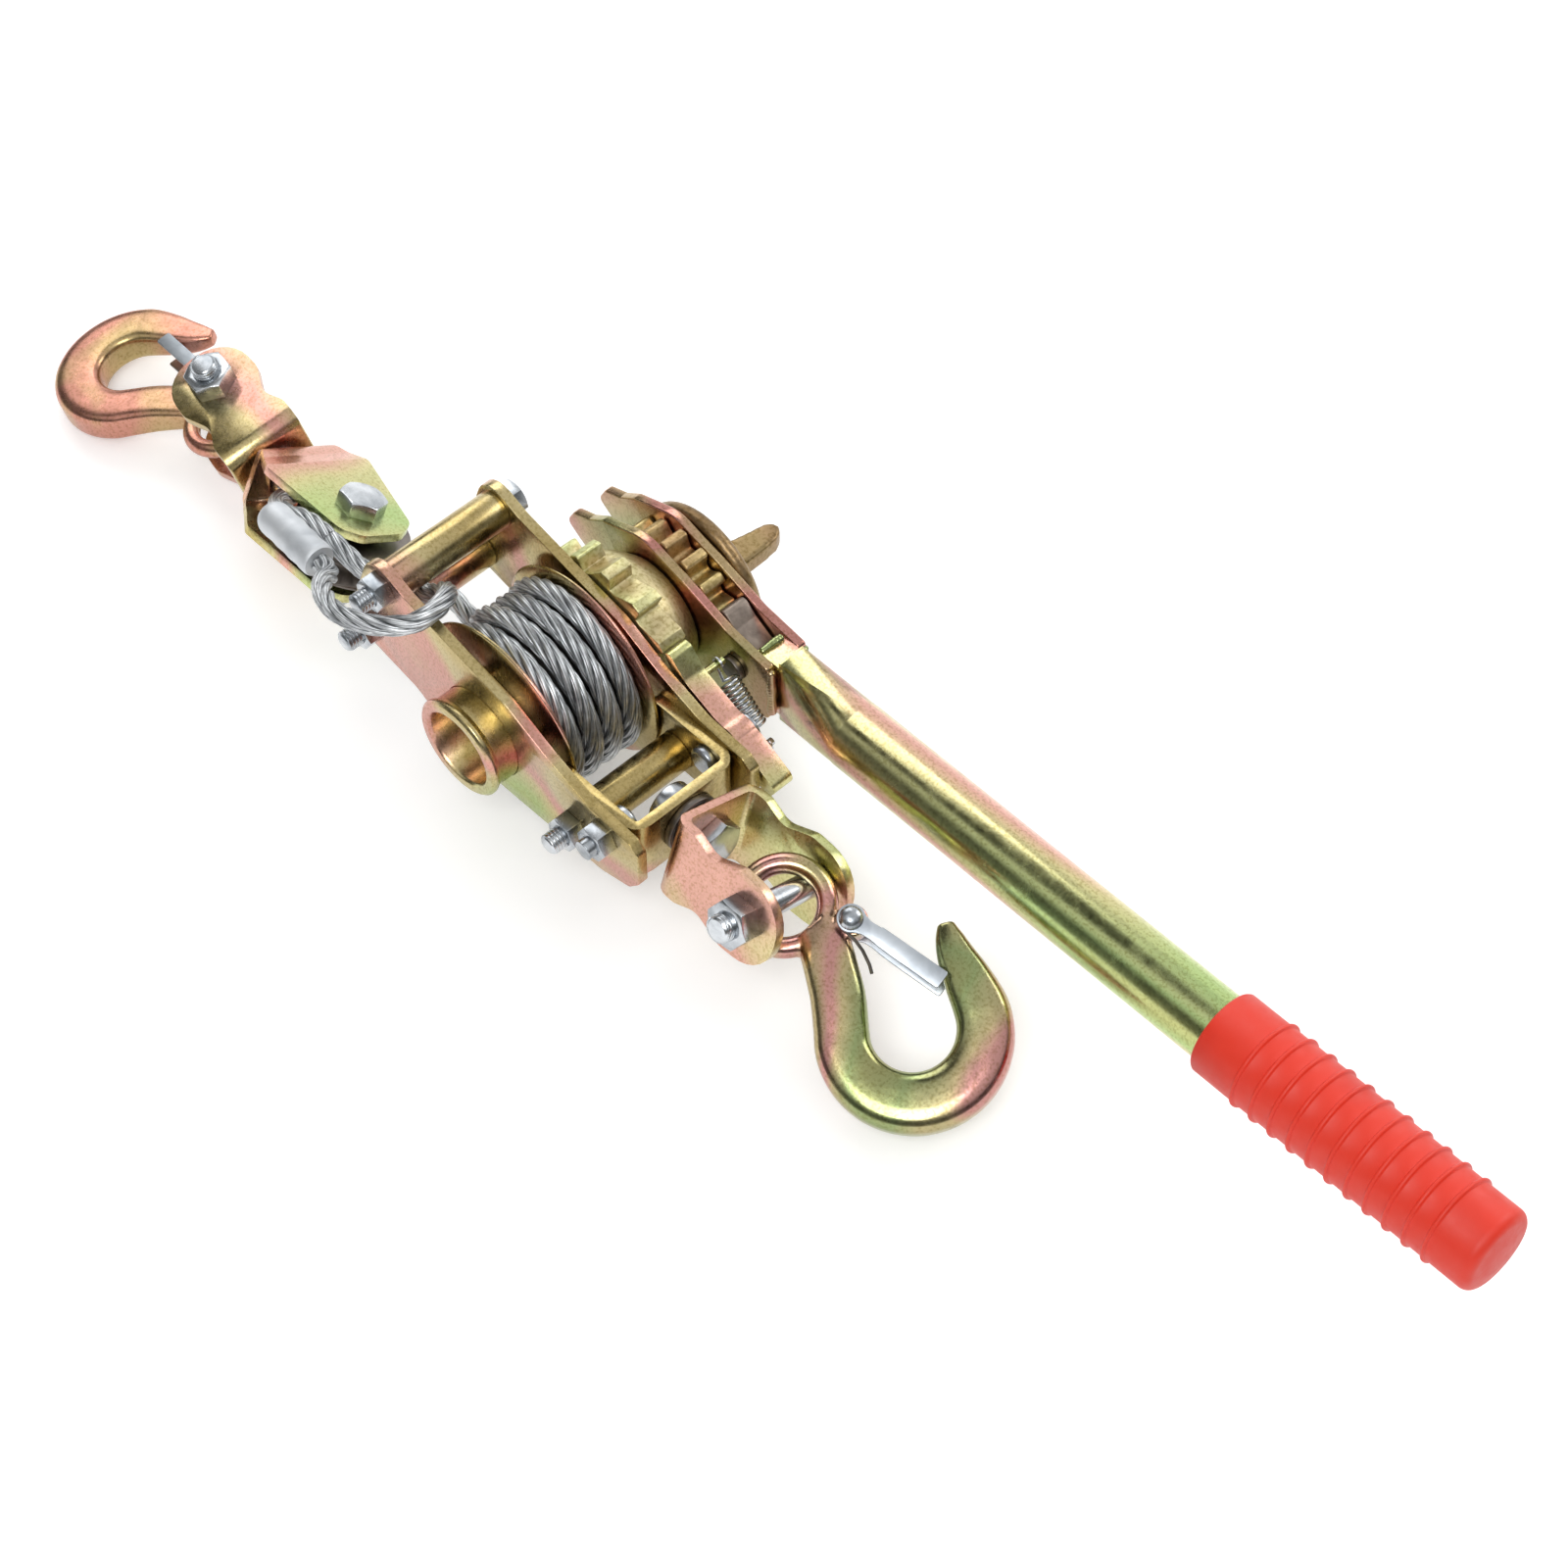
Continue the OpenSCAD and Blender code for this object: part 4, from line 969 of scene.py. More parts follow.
@dataclass
class Studio:
    """Camera, soft lamps, pale floor and world."""

    azimuth: float = 46.44
    elevation: float = 52.84
    distance_mm: float = 1479.03
    aside_mm: float = 88.74
    above_mm: float = -35.92
    focal_mm: float = 91.758
    sensor_mm: float = 36.0
    floor_z_mm: float = -50.6
    floor_reach: float = 6.0
    floor_glow: float = 0.30
    near_floor_mm: float = 750.0
    far_floor_mm: float = 1300.0
    lit_point: Triple = (0.05, 0, 0)
    window_way: Triple = (-0.54, 0.83, 0.14)
    curtain_way: Triple = (-0.60, -0.05, 0.80)

    def camera(self) -> None:
        """Makes the camera."""
        a, e = math.radians(self.azimuth), math.radians(self.elevation)
        back = Vector((math.sin(a) * math.cos(e), -math.cos(a) * math.cos(e), math.sin(e)))
        right = Vector((math.cos(a), math.sin(a), 0))
        up = back.cross(right)
        data = bpy.data.cameras.new("studio_camera")
        data.lens, data.sensor_width = self.focal_mm, self.sensor_mm
        data.clip_start, data.clip_end = 0.05, 20
        obj = new_object("studio_camera", data)
        obj.location = (back * self.distance_mm + right * self.aside_mm + up * self.above_mm) * MM
        obj.rotation_mode = "QUATERNION"
        obj.rotation_quaternion = Matrix((right, up, back)).transposed().to_quaternion()
        bpy.context.scene.camera = obj

    def lamp(self, name: str, at: Triple, size: float, watts: float) -> None:
        """Adds one soft square lamp that faces the winch.

        Args:
            name: The lamp's name.
            at: Its place in metres.
            size: Its side in metres.
            watts: Its power.
        """
        data = bpy.data.lights.new(name, "AREA")
        data.energy, data.shape, data.size = watts, "SQUARE", size
        obj = new_object(name, data)
        obj.location = at
        obj.rotation_mode = "QUATERNION"
        obj.rotation_quaternion = (Vector(at) - Vector(self.lit_point)).to_track_quat("Z", "Y")

    def floor(self) -> None:
        """Makes the pale floor, white to the camera away from shadows and far off."""
        mesh = bpy.data.meshes.new("floor")
        far, z = self.floor_reach, self.floor_z_mm * MM
        mesh.from_pydata([(-far, -far, z), (far, -far, z), (far, far, z), (-far, far, z)], [],
                         [[0, 1, 2, 3]])
        obj = new_object("floor", mesh)
        made, tree, shader = new_material("white_floor")
        for key, value in (("Base Color", linear("#F4F4F4")), ("Roughness", 0.9),
                           ("Specular IOR Level", 0.1), ("Emission Color", (1, 1, 1, 1))):
            shader.inputs[key].default_value = value
        ray = add(tree, "ShaderNodeLightPath").outputs
        away = vectors(tree, "LENGTH", add(tree, "ShaderNodeNewGeometry").outputs["Position"])
        glow = spread(tree, away, (self.near_floor_mm * MM, self.far_floor_mm * MM),
                      (self.floor_glow, 1.0), interpolation_type="SMOOTHSTEP")
        shown = maths(tree, "MULTIPLY", ray["Is Camera Ray"], glow)
        mirrored = maths(tree, "MULTIPLY", ray["Is Glossy Ray"], self.floor_glow)
        tree.links.new(maths(tree, "MAXIMUM", shown, mirrored), shader.inputs["Emission Strength"])
        mesh.materials.append(made)

    @staticmethod
    def patch(tree: Any, look: Any, way: Triple, full: float, edge: float) -> Any:
        """Marks a soft round patch of the room.

        Args:
            tree: The world's tree.
            look: Direction that is looked in.
            way: Direction of the patch's middle.
            full: Degrees from the middle up to which it is full.
            edge: Degrees at which it has faded out.

        Returns:
            A value socket, 1 inside the patch and 0 outside.
        """
        near = vectors(tree, "DOT_PRODUCT", look, Vector(way).normalized())
        rim = (math.cos(math.radians(edge)), math.cos(math.radians(full)))
        return spread(tree, near, rim, (0, 1), interpolation_type="SMOOTHSTEP")

    def world(self) -> None:
        """Makes a soft room: bright above, greyer at the sides, white to the camera."""
        room = bpy.data.worlds.new("room")
        bpy.context.scene.world = room
        room.use_nodes = True
        tree = room.node_tree
        tree.nodes.clear()
        look = add(tree, "ShaderNodeTexCoord").outputs["Generated"]
        height = add(tree, "ShaderNodeSeparateXYZ", {0: look}).outputs[2]
        sky = ramp(tree, maths(tree, "MULTIPLY_ADD", height, 0.5, 0.5),
                   [(0.44, "#C4C4C4"), (0.56, "#7C7C7A"), (0.72, "#4C4C4A"), (0.84, "#E4E4E4"),
                    (1.0, "#F2F2F2")])
        for way, full, edge, shade in ((self.window_way, 24, 36, (1.15, 1.15, 1.15, 1)),
                                       (self.curtain_way, 15, 25, (0.035, 0.035, 0.03, 1))):
            sky = mixed(tree, self.patch(tree, look, way, full, edge), sky, shade)
        seen = add(tree, "ShaderNodeLightPath").outputs["Is Camera Ray"]
        back = add(tree, "ShaderNodeBackground",
                   {"Color": mixed(tree, seen, sky, (1, 1, 1, 1)), "Strength": 1.0})
        add(tree, "ShaderNodeOutputWorld", {"Surface": back.outputs[0]})

    def build(self) -> None:
        """Makes the whole studio."""
        bpy.context.scene.view_settings.view_transform = "Standard"
        self.camera()
        self.floor()
        self.world()
        self.lamp("key_lamp", (0.7, -1.0, 1.5), 0.9, 16)
        self.lamp("fill_lamp", (-1.2, 0.5, 1.1), 1.1, 9)
        self.lamp("rim_lamp", (0.5, 1.4, 0.9), 0.8, 8)


# ---------------------------------------------------------------- wire rope


@dataclass
class Rope:
    """The wire rope: outer turns on the drum, the lead round the sheave and the eye."""

    finishes: Finishes
    winding_r: float = 32.6
    strands: int = 4
    half_width: float = 18.6
    side: float = 0.4
    start: float = -175.0
    step_from: float = 0.80
    step_to: float = 0.98
    tail: float = 17.0
    ring_mm: float = 2.4
    tail_gap: float = 0.6
    loose_way: float = 95.0
    loose_fade: float = 0.3
    sleeve_r: float = 7.0
    press: float = 0.35

    loose_lift = (0.6, 3.2, 1.2, 3.7, 2.0)
    loose_aside = (0.3, -0.5, 0.5, -0.4, 0.0)
    sleeve_ends = ((-125, -27.5, 15.8), (-92, -29.6, 17.0))
    bend_ends = ((-35, 0, 0), (-98, 0, 0))
    lead_points = (
        (-29, 14.2, -32.6), (-45, 14.6, -31.6), (-63, 16.4, -29), (-82, 16.8, -25),
        (-99.6, 14.6, -20), (-119.3, 17.3, -21.6), (-137, 13.9, -21), (-144.6, 2.9, -13.9),
        (-141.8, -8.8, -4.2), (-133.4, -17.3, 4.8), (-124.8, -18.9, 8.6), (-115.8, -17.4, 11.4),
        (-107, -17.4, 12.8), (-100, -17.8, 13.4),
    )
    eye_points = (
        (-99.8, -17.8, 13.4), (-91, -18.4, 13.8), (-79, -19, 14.8), (-67, -17.4, 18.6),
        (-55, -15, 22.9), (-47.5, -14, 24.3), (-41.6, -13.8, 29.6), (-35, -14.4, 36.4),
        (-28.4, -19.6, 43.4), (-25.4, -28, 45), (-29, -36.6, 41.6), (-40, -45.4, 39),
        (-54, -49.4, 36.2), (-68, -45.6, 30.6), (-78, -39, 24.6), (-82.5, -33.2, 19.4),
        (-86.4, -30.1, 17.2), (-91.7, -29.6, 17),
    )

    def winding_line(self) -> np.ndarray:
        """Works out the outer turns' line.

        Returns:
            Points in millimetres.
        """
        turns = self.strands + (self.start + 90) / 360
        pitch = (2 * self.half_width - ROPE_D - 2 * self.side) / (self.strands - 1)
        first = -self.half_width + ROPE_D / 2 + self.side
        t = np.linspace(0, turns, 360)
        share = np.clip((t - np.floor(t) - self.step_from) / (self.step_to - self.step_from), 0, 1)
        at = np.minimum(self.strands - 1, np.floor(t) + share * share * (3 - 2 * share))
        angle = np.radians(self.start - 360 * t)
        slack = np.clip(np.cos(angle - math.radians(self.loose_way)), 0, 1) ** 2
        slack *= np.clip(t / self.loose_fade, 0, 1) * np.clip((turns - t) / self.loose_fade, 0, 1)
        lifted = np.interp(t, np.arange(len(self.loose_lift)), self.loose_lift) * slack
        aside = np.interp(t, np.arange(len(self.loose_aside)), self.loose_aside) * slack
        radius = self.winding_r + lifted
        line = np.stack([radius * np.cos(angle), first + pitch * at + aside, radius * np.sin(angle)],
                        axis=1)
        last_y = first + pitch * (self.strands - 1)
        return np.vstack([line] + [[x, last_y, -self.winding_r] for x in (-ROPE_D, -self.tail)])

    def laid(self, name: str, line: np.ndarray, recipe: Recipe) -> Any:
        """Lays six strands along a line.

        Args:
            name: Name of the piece.
            line: Points in millimetres.
            recipe: The strand recipe.

        Returns:
            The rope's mesh object.
        """
        points = respaced(line, self.ring_mm)
        mesh = bpy.data.meshes.new(name + "_line")
        mesh.from_pydata((points * MM).tolist(), [[i, i + 1] for i in range(len(points) - 1)], [])
        return recipe.run(new_object(name + "_line", mesh), name, Material=self.finishes.rope)

    def build(self) -> None:
        """Makes every stretch of the rope and its sleeve."""
        recipe = strand_recipe()
        winding = self.laid("rope_turns", self.winding_line(), recipe)
        place(winding, Body.DRUM, None, "wire_rope", "rope_winding")
        # The rope under the turns gets the near-black finish: painted shade.
        dress("rope_core", "rope_under_turns", Body.DRUM, self.finishes.inner, "wire_rope", 0.3)
        start = [-self.tail - self.tail_gap, *self.lead_points[0][1:]]
        lead_line = np.vstack([start, through(np.array(self.lead_points, float), per=8)])
        lead = self.laid("rope_run", lead_line, recipe)
        bend(lead, "rope_lead", (Body.FRAME, Body.BLOCK), self.bend_ends)
        eye_line = through(np.array(self.eye_points, float), per=8)
        eye = self.laid("rope_end_eye", eye_line, recipe)
        place(eye, Body.FRAME, None, "wire_rope", "rope_eye")
        sleeve = self.sleeve()
        place(sleeve, Body.FRAME, self.finishes.alloy, "sleeve_alloy", "ferrule")
        self.declare(lead, lead_line)
        self.declare(eye, eye_line)

    def declare(self, obj: Any, line: np.ndarray) -> None:
        """Logs how long a piece of rope is.

        Args:
            obj: The rope's object.
            line: Its line in millimetres.
        """
        path = respaced(line, self.ring_mm) * MM
        length = float(np.linalg.norm(np.diff(path, axis=0), axis=1).sum())
        LOG.info("%s is %.0f mm long", obj.name, length / MM)

    def sleeve(self) -> Any:
        """Makes the pressed sleeve: a long pill with flats left by the press.

        Returns:
            The sleeve's object.
        """
        rear, front = np.array(self.sleeve_ends, float)
        axis = front - rear
        ahead = axis / np.linalg.norm(axis)
        side = np.cross(ahead, [0, 0, 1.0])
        side /= np.linalg.norm(side)
        up = np.cross(side, ahead)
        nose, body, mouth = 0.16, (0.2, 0.9), 0.94
        k = np.concatenate([np.linspace(0, nose, 9), np.linspace(*body, 29), np.linspace(mouth, 1, 6)])
        radius = self.sleeve_r * (0.56 + 0.44 * np.sqrt(1 - (1 - np.minimum(k / nose, 1)) ** 2))
        radius *= 1 - 0.08 * (np.maximum(0, k - mouth) / (1 - mouth)) ** 2
        bites = 2 * math.pi * 3 * np.clip((k - body[0]) / (body[1] - body[0]), 0, 1)
        flat = self.press * (0.5 - 0.5 * np.cos(bites))
        a = np.linspace(0, 2 * math.pi, 40, endpoint=False)
        out = radius[:, None] - flat[:, None] * np.abs(np.cos(a)) ** 3
        spokes = np.cos(a)[:, None] * side + np.sin(a)[:, None] * up
        mesh = tube_mesh("pressed_sleeve", rear + k[:, None, None] * axis + out[..., None] * spokes)
        smooth_by_angle(mesh, 40)
        return new_object("pressed_sleeve", mesh)


# ---------------------------------------------------------------- threads


@dataclass
class Threads:
    """Ridges of the screw threads that stand out past the nuts.

    Each bolt's end and its nut's face are found on the CAD's solids.
    """

    finishes: Finishes
    recipe: Recipe = field(default_factory=thread_recipe)
    pitch: float = 1.4
    depth: float = 0.42
    set_back: float = 0.45
    off_axis: float = 3.0
    tip_len: float = 1.4

    def ends(self, bolts: str, nuts: str,
             way: np.ndarray) -> tuple[list[tuple[Any, Any, float]], float]:
        """Finds the bare thread of each bolt of a node.

        Args:
            bolts: CAD node of the bolts.
            nuts: CAD node of their nuts.
            way: A direction along them.

        Returns:
            Start, direction and length of each thread, and the bolts' radius.
        """
        way = way / np.linalg.norm(way)
        rings = [(part.mean(0), part @ way) for part in solids_of(nuts)]
        found, radius = [], 0.0
        for part in solids_of(bolts):
            reach = part @ way
            flat = part - reach[:, None] * way
            middle = (flat.max(0) + flat.min(0)) / 2
            for centre, span in rings:
                if np.linalg.norm(centre - way * (centre @ way) - middle) > self.off_axis:
                    continue
                low = abs(reach.max() - span.max()) < abs(span.min() - reach.min())
                ahead = way if low else -way
                tip = reach.max() if low else -reach.min()
                face = span.max() if low else -span.min()
                at_tip = part[np.abs(part @ ahead - tip) < self.tip_len]
                across = at_tip - np.outer(at_tip @ way, way) - middle
                radius = float(np.linalg.norm(across, axis=1).max())
                found.append((middle + ahead * (face + self.set_back), ahead,
                              tip - face - 2 * self.set_back))
        return found, radius

    def build(self, name: str, body: Body, bolts: str, nuts: str, way: np.ndarray) -> None:
        """Puts ridges on the bolt ends of one node.

        Args:
            name: Name of the piece.
            body: The body of the bolts.
            bolts: CAD node of the bolts.
            nuts: CAD node of their nuts.
            way: A direction along them.
        """
        found, radius = self.ends(bolts, nuts, way)
        run = min(length for _, _, length in found)
        mesh = bpy.data.meshes.new(name + "_ends")
        mesh.from_pydata([tuple(at * MM) for at, _, _ in found], [], [])
        ways = mesh.attributes.new("way", "FLOAT_VECTOR", "POINT")
        for i, (_, ahead, _) in enumerate(found):
            ways.data[i].vector = Vector(ahead)
        obj = self.recipe.run(new_object(name + "_ends", mesh), name, Radius=radius * MM,
                              Pitch=self.pitch * MM, Turns=run / self.pitch,
                              Depth=self.depth * MM, Material=self.finishes.zinc)
        LOG.info("%s: %d threads of %.1f mm on radius %.1f", name, len(found), run, radius)
        place(obj, body, None, "bright_zinc")


# ---------------------------------------------------------------- sub-assemblies


@dataclass
class SideFrame:
    """Two side plates with their spacers, bracket, bolts and nuts."""

    finishes: Finishes
    threads: Threads

    def build(self) -> None:
        """Makes the frame's pieces."""
        f, body = self.finishes, Body.FRAME
        self.threads.build("frame_bolt_threads", body, "frame_bolts", "frame_nuts",
                           np.array([0.0, 1.0, 0.0]))
        for node, name in (("near_plate", "near_side_plate"), ("far_plate", "far_side_plate"),
                           ("anchor_bracket", "front_bracket")):
            dress(node, name, body, f.plate, "yellow_zinc", 0.6, 3)
        for node in ("rear_upper_spacer", "rear_lower_spacer", "front_spacer"):
            dress(node, node + "_tube", body, f.plate, "yellow_zinc")
        for node in ("frame_bolts", "frame_nuts", "bracket_bolt", "pawl_pivot_bolt"):
            dress(node, node + "_set", body, f.zinc, "bright_zinc", 0.3)
        dress("spring_post", "spring_stud", body, f.zinc, "bright_zinc", 0.25)
        dress("swivel_washer", "swivel_collar", body, f.steel, "dark_steel", 0.5)


@dataclass
class Drum:
    """Drum tube, flanges, ratchet, gear, shaft and knob."""

    finishes: Finishes
    knob_y: float = 77.5
    fin_tip: float = 115.0
    fin_half: float = 4.1

    def build(self) -> None:
        """Makes the drum's pieces."""
        f, body = self.finishes, Body.DRUM
        dress("drum_tube", "drum_barrel", body, f.plate, "yellow_zinc", 0.5, 3)
        for node in ("near_flange", "far_flange"):
            dress(node, node + "_disc", body, f.plate, "yellow_zinc")
        dress("ratchet_wheel", "ratchet_casting", body, f.ratchet, "cast_zinc", 0.9, 3)
        dress("drive_gear", "gear_casting", body, f.cast, "cast_zinc", 0.8, 3)
        dress("drum_shaft", "drum_axle", body, f.steel, "dark_steel")
        place(self.knob(), body, f.knob, "cast_zinc", "wing_knob")

    def knob(self) -> Any:
        """Makes the cast knob, a dished disc with one leaning fin.

        Returns:
            The knob's object.
        """
        y, tip = self.knob_y, self.fin_tip
        mesh = turned("finned_knob", [(29.4, y), (31, y + 1.6), (31, y + 4), (29.6, y + 5.8),
                                      (24, y + 7.2), (17, y + 8.4), (6, y + 8.4)], steps=96)
        mesh.transform(Matrix.Rotation(math.radians(90), 4, "Z"))
        fin = [(-12, y + 4), (19, y + 4), (14, y + 8.5), (10.4, y + 14), (9.8, tip - 10),
               (9.2, tip - 5), (7.4, tip - 1.6), (5, tip), (2.4, tip - 0.9), (0.5, tip - 3.4),
               (-0.8, tip - 11), (-3, y + 16), (-7, y + 10.5)]
        with edited(mesh) as work:
            add_slab(work, fin, -self.fin_half, self.fin_half)
        outward(mesh)
        return remeshed(new_object("finned_knob_raw", mesh), "finned_knob", voxel_mm=0.7,
                        passes=9)


@dataclass
class Lever:
    """Cheeks, lever tube, grip and both pawls."""

    finishes: Finishes
    lift: float = 0.8
    middle_y: float = 67.0
    reach: float = 404.0
    grip_len: float = 126.0
    grip_d: float = 33.4
    tube_d: float = 27.0
    ribs: int = 11
    rib_pitch: float = 8.6
    rib_half: float = 0.95
    rib_h: float = 1.1
    rib_foot: float = 0.35
    end_r: float = 4.0
    end_rise: float = 1.2
    weld_r: float = 1.7
    weld_step: float = 0.45

    def leaning(self) -> Matrix:
        """Works out the place of the lever, which leans up a little."""
        return placed((0, self.middle_y, 0), ("Y", -self.lift))

    def grip(self) -> Any:
        """Makes the ribbed grip with its domed end and rolled mouth.

        Returns:
            The grip's object.
        """
        start, end = self.reach - self.grip_len, self.reach
        r, dome, half = self.grip_d / 2, self.end_r, self.rib_half
        first = (self.grip_len - (self.ribs - 1) * self.rib_pitch) / 2
        line = [(self.tube_d / 2 + 0.02, start + 0.2), (r - 1.4, start), (r - 0.5, start + 0.3),
                (r, start + 1.1)]
        for i in range(self.ribs):
            s = start + first + self.rib_pitch * i
            line += [(r, s - half - self.rib_foot), (r + 0.12, s - half)]
            for a in (k * math.pi / 8 for k in range(-3, 4)):
                line.append((r + self.rib_h * math.cos(a) ** 0.6, s + half * 0.85 * math.sin(a)))
            line += [(r + 0.12, s + half), (r, s + half + self.rib_foot)]
        line.append((r, end - dome - 1.5))
        for a in (k * math.pi / 20 for k in range(11)):
            line.append((r - dome + dome * math.cos(a),
                         end - self.end_rise - dome + dome * math.sin(a)))
        line += [((r - dome) * k, end - self.end_rise * k * k) for k in (0.8, 0.6, 0.4, 0.2, 0.05)]
        mesh = turned("vinyl_grip", line, steps=72)
        mesh.transform(self.leaning())
        smooth_by_angle(mesh, 50)
        return new_object("vinyl_grip", mesh)

    def welds(self) -> Any:
        """Makes the rippled weld beads that join the cheeks to the tube.

        Returns:
            The beads as one object.
        """
        routes = [[(60.2, side * 8.2, z) for z in np.arange(-12.5, 12.6, self.weld_step)]
                  for side in (-1, 1)]
        routes.append([(52.0, y, 13.4) for y in np.arange(-6, 6.1, self.weld_step)])
        mesh = bpy.data.meshes.new("weld_beads")
        with edited(mesh) as work:
            for number, route in enumerate(routes):
                steps = np.arange(len(route))
                swell = self.weld_r * (1 + 0.10 * np.abs(np.sin(steps * 0.9 + number))
                                       + 0.10 * np.sin(steps * 0.23 + 2 * number))
                swell *= np.clip(np.minimum(steps + 1, len(route) - steps) / 3, 0.3, 1)
                rings = ringed(np.array(route), (1, 0, 0), swell, swell, steps=14)
                bead = tube_mesh("bead", rings)
                work.from_mesh(bead)
                bpy.data.meshes.remove(bead)
        mesh.transform(self.leaning())
        mesh.shade_smooth()
        return new_object("weld_beads", mesh)

    def build(self) -> None:
        """Makes the lever's pieces and the pawls."""
        f, body = self.finishes, Body.LEVER
        for side in ("near", "far"):
            dress(side + "_cheek", side + "_lever_cheek", body, f.cheek, "rose_zinc", 0.9, 4)
        place(self.welds(), body, f.hook, "yellow_zinc")
        dress("handle_tube", "lever_tube", body, f.tube, "yellow_zinc", 0.6, 3, 50)
        place(self.grip(), body, f.vinyl, "grip_red", "handle_grip")
        dress("handle_pawl_pin", "pawl_pin", body, f.steel, "dark_steel", 0.3)
        dress("handle_pawl", "drive_pawl_block", Body.DRIVE_PAWL, f.pawl, "dark_steel", 0.8, 3)
        dress("frame_pawl", "holding_pawl_lever", Body.STOP_PAWL, f.rose, "cast_zinc", 0.8, 3)


@dataclass
class PawlSpring:
    """Extension spring between the holding pawl's pin and the post on the far plate."""

    finishes: Finishes
    wire: float = 1.2
    radius: float = 3.9
    curls: int = 11
    curl_steps: int = 20
    pitch: float = 1.9
    pin_r: float = 1.6
    play: float = 0.3
    pin_at: Triple = (43.5, 47.6, 12.2)
    post_at: Triple = (70, 47.6, -11.4)

    def build(self) -> None:
        """Makes the spring, which runs from the pawl's pin to the post on the frame."""
        pin, post = np.array(self.pin_at), np.array(self.post_at)
        ahead = (post - pin) / np.linalg.norm(post - pin)
        up = np.array([ahead[2], 0, -ahead[0]])
        hook = self.pin_r + self.wire / 2 + self.play

        def bow(at: np.ndarray, degrees: range) -> list[np.ndarray]:
            """Bends the wire round a pin over a range of degrees."""
            turns = [math.radians(k) for k in degrees]
            return [at + hook * (math.cos(a) * ahead + math.sin(a) * up) for a in turns]

        start = (pin + post) / 2 - ahead * self.curls * self.pitch / 2
        coil = []
        for k in range(self.curls * self.curl_steps + 1):
            a = 2 * math.pi * k / self.curl_steps
            coil.append(start + ahead * self.pitch * k / self.curl_steps
                        + self.radius * (math.sin(a) * np.array([0, 1, 0]) + math.cos(a) * up))
        line = np.array(bow(pin, range(-60, -301, -10)) + coil + bow(post, range(120, -121, -10)))
        rings = ringed(line, (0, 1, 0), self.wire / 2, self.wire / 2, steps=10)
        mesh = tube_mesh("return_spring", rings)
        mesh.shade_smooth()
        mesh.materials.append(self.finishes.zinc)
        bend(new_object("return_spring", mesh), "pawl_spring",
             (Body.FRAME, Body.STOP_PAWL), (post, pin))


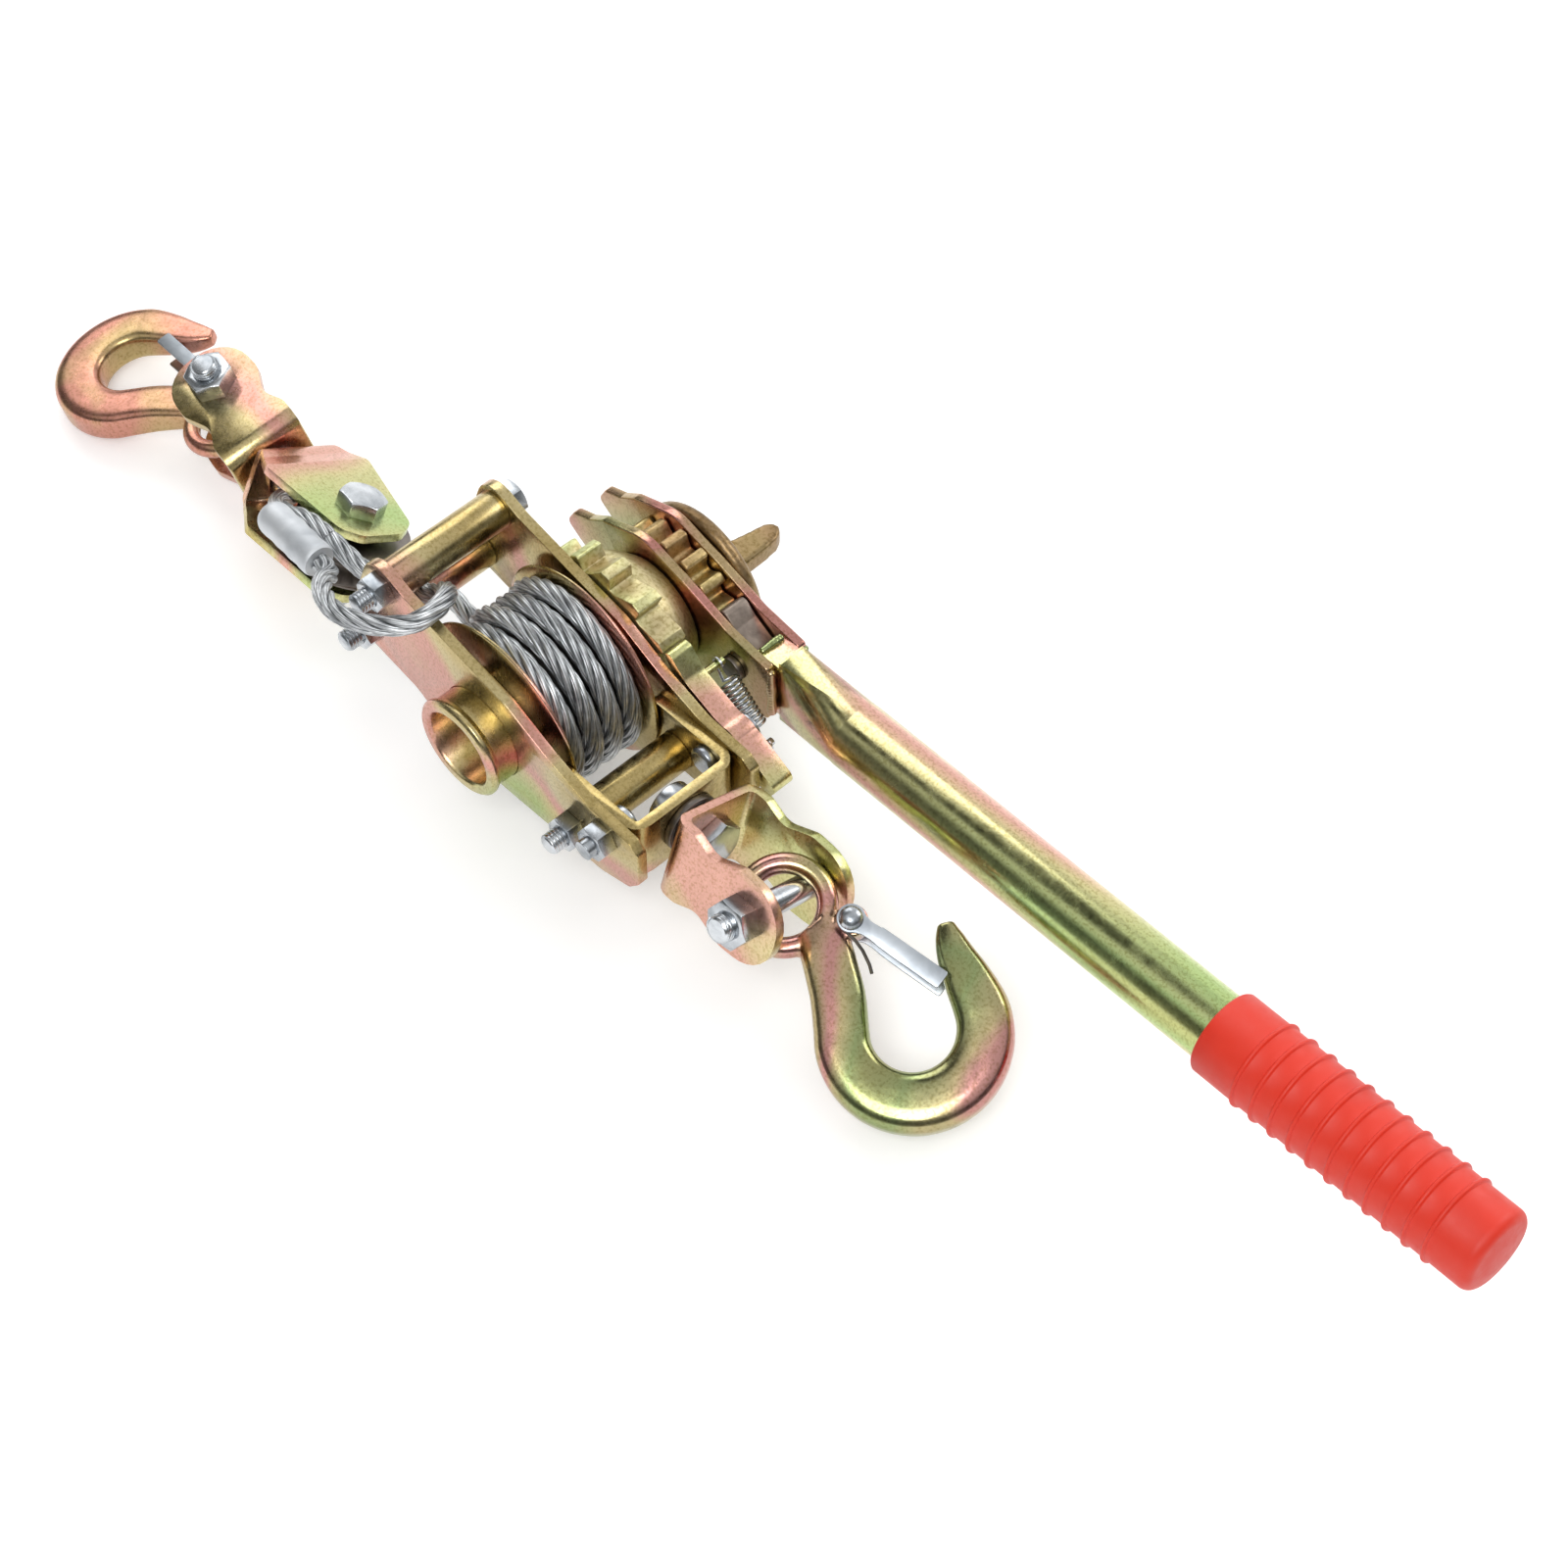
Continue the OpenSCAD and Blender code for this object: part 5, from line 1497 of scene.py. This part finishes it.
@dataclass
class HookEnd:
    """A swivel yoke with its forged hook, latch, rivet and wire spring."""

    finishes: Finishes
    threads: Threads
    end: str
    clevis: Body
    hook: Body
    latch: Body
    swing_joint: str
    eye: Triple
    turns: tuple[tuple[str, float], ...]
    scale: float
    flatness: float
    yoke_look: Any
    yoke_slot: str
    hook_look: Any

    bowl_at = (65.5, 1.6)
    bowl_mid_r = 25.5
    bowl_steps = 14
    pivot = (21.5, 13.2, 0)
    boss = (6.0, 9.2)
    eye_mid_r = 15.5
    eye_bar_r = 4.0
    eye_steps = (72, 24)
    latch_tilt = 11.0
    latch_wall = (7.1, 8.2)
    latch_ear_r = 5.3

    def hook_place(self) -> Matrix:
        """Works out the hook's place from its eye and its turns."""
        return placed(self.eye, *self.turns) @ Matrix.Scale(self.scale, 4)

    def bar(self) -> Any:
        """Makes the hook's bar, from the eye through the bowl to its blunt tip.

        Returns:
            A new mesh.
        """
        (x, y), r, steps = self.bowl_at, self.bowl_mid_r, self.bowl_steps
        bowl = [math.radians(-134 + 14.5 * i) for i in range(steps + 1)]
        line = [(12.5, 1.5), (20, 0.5), (30, -4.6), (38.5, -9.6)]
        line += [(x + r * math.cos(a), y + r * math.sin(a)) for a in bowl]
        line += [(65, 28.6), (56, 31.4), (49.5, 34.2), (44.8, 36.8)]
        swell = [math.sin(math.pi * i / steps) for i in range(steps + 1)]
        sizes = [(7.5, 4.4), (9.4, 5.6), (9.8, 6.6), (10, 7.2)]
        sizes += [(10 + 1.2 * k, 7.6 + 0.6 * k) for k in swell]
        sizes += [(8.8, 6.8), (7, 5.6), (5.2, 4.4), (3, 3)]
        path, wide = (through(np.array([(a, b, 0) for a, b in row], float), per=6)
                      for row in (line, sizes))
        rings = ringed(path, (0, 1, 0), wide[:, 0], wide[:, 1], steps=40, power=self.flatness)
        tip = rings[-1].mean(0) + (path[-1] - path[-2]) * 0.6
        blunt = tip + (rings[-1] - rings[-1].mean(0)) * 0.5
        return tube_mesh(self.end + "_forging", np.concatenate([rings, blunt[None]]))

    def add_eye(self, work: Any) -> None:
        """Adds the eye, a closed ring of round bar, to a bmesh."""
        steps, sides = self.eye_steps
        rows = []
        for i in range(steps):
            a, row = 2 * math.pi * i / steps, []
            for b in (2 * math.pi * k / sides for k in range(sides)):
                r = self.eye_mid_r + self.eye_bar_r * math.cos(b)
                at = Vector((r * math.cos(a), r * math.sin(a), self.eye_bar_r * math.sin(b)))
                row.append(work.verts.new(at * MM))
            rows.append(row)
        for i, here in enumerate(rows):
            there = rows[(i + 1) % steps]
            for k in range(sides):
                n = (k + 1) % sides
                work.faces.new((here[k], there[k], there[n], here[n]))

    def forging(self) -> Any:
        """Makes the hook's smooth forged body, with its eye and its rivet boss.

        Returns:
            The hook's object.
        """
        body = self.bar()
        radius, length = self.boss
        with edited(body) as work:
            self.add_eye(work)
            bmesh.ops.create_cone(work, cap_ends=True, segments=40, radius1=radius * MM,
                                  radius2=radius * MM, depth=length * MM, matrix=placed(self.pivot))
        outward(body)
        obj = remeshed(new_object(self.end + "_raw", body), self.end + "_forged_hook",
                       voxel_mm=0.62, passes=5)
        obj.data.transform(self.hook_place())
        return obj

    def safety_latch(self) -> Any:
        """Makes the latch, a channel folded from sheet with two round ears.

        Returns:
            The latch's object.
        """
        ear = [math.radians(a) for a in range(48, 313, 12)]
        side = [(self.latch_ear_r * math.cos(a), self.latch_ear_r * math.sin(a)) for a in ear]
        side += [(6.4, -2.7), (10, -2.5), (14, -2.9), (20, -3.1), (39.2, -3.1), (39.8, -2.4),
                 (39.8, 3.3), (39.2, 3.9), (14, 3.9), (10, 3.4), (6.6, 3.2)]
        roof = [(11, 2.85), (34.6, 2.85), (34.6, 3.88), (11, 3.88)]
        near, far = self.latch_wall
        mesh = bpy.data.meshes.new(self.end + "_latch_raw")
        with edited(mesh) as work:
            for outline, low, high in ((side, near, far), (side, -far, -near),
                                       (roof, -far + 0.05, far - 0.05)):
                add_slab(work, outline, low, high)
        outward(mesh)
        mesh.transform(self.hook_place() @ placed(self.pivot, ("Z", self.latch_tilt)))
        name = self.end + "_safety_latch"
        return rounded_off(new_object(name + "_raw", mesh), name, width_mm=0.3, steps=3)

    def build(self) -> None:
        """Makes this end's pieces."""
        f, e = self.finishes, self.end
        dress(e + "_yoke", e + "_clevis_strap", self.clevis, self.yoke_look, self.yoke_slot, 0.7, 3)
        for part in ("swivel_bolt", "swivel_nut", "hook_bolt", "hook_nut"):
            dress(f"{e}_{part}", f"{e}_{part}_part", self.clevis, f.zinc, "bright_zinc", 0.35)
        self.threads.build(e + "_hook_bolt_thread", self.clevis, e + "_hook_bolt",
                           e + "_hook_nut", joint_way(self.swing_joint))
        place(self.forging(), self.hook, self.hook_look, "yellow_zinc", e + "_hook")
        dress(e + "_latch_rivet", e + "_rivet", self.hook, f.zinc, "bright_zinc", 0.2)
        dress(e + "_latch_spring", e + "_latch_wire", self.hook, f.steel, "dark_steel", 0.05)
        place(self.safety_latch(), self.latch, f.latch, "bright_zinc", e + "_latch")


@dataclass
class SnatchBlock:
    """The folded block with its sheave, bush and bolt."""

    finishes: Finishes
    threads: Threads

    def build(self) -> None:
        """Makes the block's pieces."""
        f, body = self.finishes, Body.BLOCK
        dress("block_strap", "block_cheeks", body, f.rose, "rose_zinc", 0.6, 3)
        for node in ("sheave_bolt", "sheave_nut"):
            dress(node, node + "_part", body, f.zinc, "bright_zinc", 0.35)
        self.threads.build("sheave_bolt_thread", body, "sheave_bolt", "sheave_nut",
                           joint_way("sheave_spin"))
        dress("sheave_bush", "sheave_sleeve", body, f.steel, "dark_steel", 0.2)
        dress("sheave", "grooved_wheel", Body.SHEAVE, f.steel, "dark_steel", 0.5, 3)


def main() -> None:
    """Builds the studio and every sub-assembly in order."""
    logging.basicConfig(level=logging.INFO, format="%(name)s: %(message)s")
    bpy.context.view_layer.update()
    Studio().build()
    f = Finishes()
    Rope(f).build()
    threads = Threads(f)
    SideFrame(f, threads).build()
    Drum(f).build()
    Lever(f).build()
    PawlSpring(f).build()
    HookEnd(f, threads, "front", Body.FRONT_CLEVIS, Body.ANCHOR_HOOK, Body.ANCHOR_LATCH,
            "anchor_hook_swing", eye=(129.6, -0.5, -6.8), turns=(("X", 20), ("Y", 13.4), ("Z", -4)),
            scale=1.0, flatness=0.66, yoke_look=f.rose, yoke_slot="rose_zinc",
            hook_look=f.hook).build()
    HookEnd(f, threads, "rear", Body.REAR_CLEVIS, Body.LOAD_HOOK, Body.LOAD_LATCH,
            "load_hook_swing", eye=(-203.9, 8.6, -24.6),
            turns=(("X", 10), ("Y", -11), ("Z", 7), ("Z", 180), ("X", 180)), scale=0.88,
            flatness=0.44, yoke_look=f.plate, yoke_slot="yellow_zinc", hook_look=f.rosy_hook).build()
    SnatchBlock(f, threads).build()


if __name__ == "__main__":
    main()
